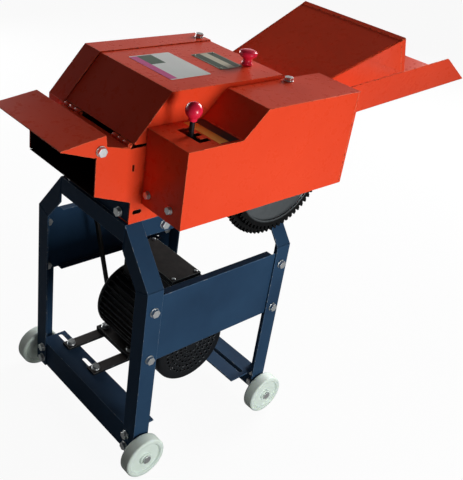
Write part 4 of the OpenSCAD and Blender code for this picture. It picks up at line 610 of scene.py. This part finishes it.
hood_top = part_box("hood")[1].z
vinyl_white = enamel("bleached_white_vinyl", "#F6FAF8", "#E3EEE8",
                     roughness=0.4, specular=0.4, peel_mm=3.0, dust=0.2)
vinyl_pink = enamel("bleached_pink_vinyl", "#E0519F", "#D43A8C",
                    roughness=0.4, specular=0.4, peel_mm=3.0, dust=0.15)
vinyl_green = enamel("bleached_green_vinyl", "#4B6A58", "#36513F",
                     roughness=0.4, specular=0.4, peel_mm=3.0, dust=0.15)
LABEL_X, LABEL_Y = (-78, 24), (-65, 77)
PINK_END_X, PINK_Y = -60, (-54, 66)
GREEN_END_X, GREEN_Y = -24, (22, 70)


def label_field(x, y, on_top):
    """Pink in a band along the front, green behind it on the belt side, and white elsewhere."""
    if on_top and x < PINK_END_X and PINK_Y[0] < y < PINK_Y[1]:
        return 1
    return 2 if on_top and PINK_END_X < x < GREEN_END_X and GREEN_Y[0] < y < GREEN_Y[1] else 0


label = blank_plate(hood_top, LABEL_X, LABEL_Y, (PINK_END_X, GREEN_END_X), (GREEN_Y[0],), label_field,
                    corner_mm=4.0, thickness_mm=0.4, margin_mm=3.5)
new_piece("hood_label", label, (vinyl_white, vinyl_pink, vinyl_green), "hood")

bare_aluminium = bare_metal("brushed_aluminium_plate", "#C8C6B8", "#A9A897",
                            least_rough=0.35, most_rough=0.55, grit_mm=1.6)
green_print = enamel("green_printed_lacquer", "#26452C", "#1C3622",
                     roughness=0.35, specular=0.4, peel_mm=3.0, dust=0.1)
beige_print = enamel("beige_printed_lacquer", "#DED9C2", "#C8C3AA",
                     roughness=0.4, specular=0.4, peel_mm=3.0, dust=0.1)
PLATE_X, PLATE_Y = (62, 124), (-50, 48)
PRINT_X, PRINT_Y, BEIGE_X = (65, 121), (-46, 44), (84, 104)
RIVET_INSET, RIVET_SEAT = 5, 0.0007


def plate_field(x, y, on_top):
    """Beige in a middle band, green on both sides of it, and bare metal around the edge."""
    if not (on_top and PRINT_X[0] < x < PRINT_X[1] and PRINT_Y[0] < y < PRINT_Y[1]):
        return 0
    return 2 if BEIGE_X[0] < x < BEIGE_X[1] else 1


data_plate = blank_plate(hood_top, PLATE_X, PLATE_Y, BEIGE_X, (), plate_field,
                         corner_mm=3.0, thickness_mm=0.8, margin_mm=2.5)
for rivet_x in (PLATE_X[0] + RIVET_INSET, PLATE_X[1] - RIVET_INSET):
    for rivet_y in (PLATE_Y[0] + RIVET_INSET, PLATE_Y[1] - RIVET_INSET):
        pan_head(data_plate, above(rivet_x, rivet_y, hood_top + RIVET_SEAT), radius_mm=2.4, height_mm=1.6)
new_piece("hood_data_plate", data_plate, (bare_aluminium, green_print, beige_print), "hood")

vinyl_yellow = enamel("bleached_yellow_vinyl", "#F5B03A", "#E59C2A",
                      roughness=0.4, specular=0.4, peel_mm=3.0, dust=0.1)
vinyl_black = enamel("black_vinyl", "#151314", "#221E20",
                     roughness=0.35, specular=0.4, peel_mm=3.0, dust=0.1)
# The lever gate is in a shelf of the gear guard, below its top.
SHELF_DROP = 0.053
STRIP_X, STRIP_Y, YELLOW_END_X = (-88, -40), (-231, -124), -65
strip = blank_plate(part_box("gear_guard")[1].z - SHELF_DROP, STRIP_X, STRIP_Y, (YELLOW_END_X,), (),
                    lambda x, y, on_top: 1 if x > YELLOW_END_X else 0,
                    corner_mm=2.0, thickness_mm=0.4, margin_mm=1.2)
new_piece("gate_label", strip, (vinyl_yellow, vinyl_black), "stand")


# Lever: a round steel bar, sprayed black like the motor, that stands up through the gate in the gear guard
# and ends in a ball knob.
dress(black_enamel, "shift_lever")


# Knobs: crimson moulded phenolic, polished by hands. The hood's knob is moulded on a plated screw that goes
# down through the sheet.
knob_plastic = enamel("crimson_phenolic", "#F0284A", "#E01E40",
                      roughness=0.22, specular=0.4, peel_mm=12.0, dust=0.0)
KNOB_EDGE = 0.6
eased((knob_plastic, knob_plastic), ("lever_knob",), KNOB_EDGE)
eased((knob_plastic, knob_plastic, zinc), ("hood_knob",), KNOB_EDGE,
      lambda face: face.calc_center_median().z < hood_top)
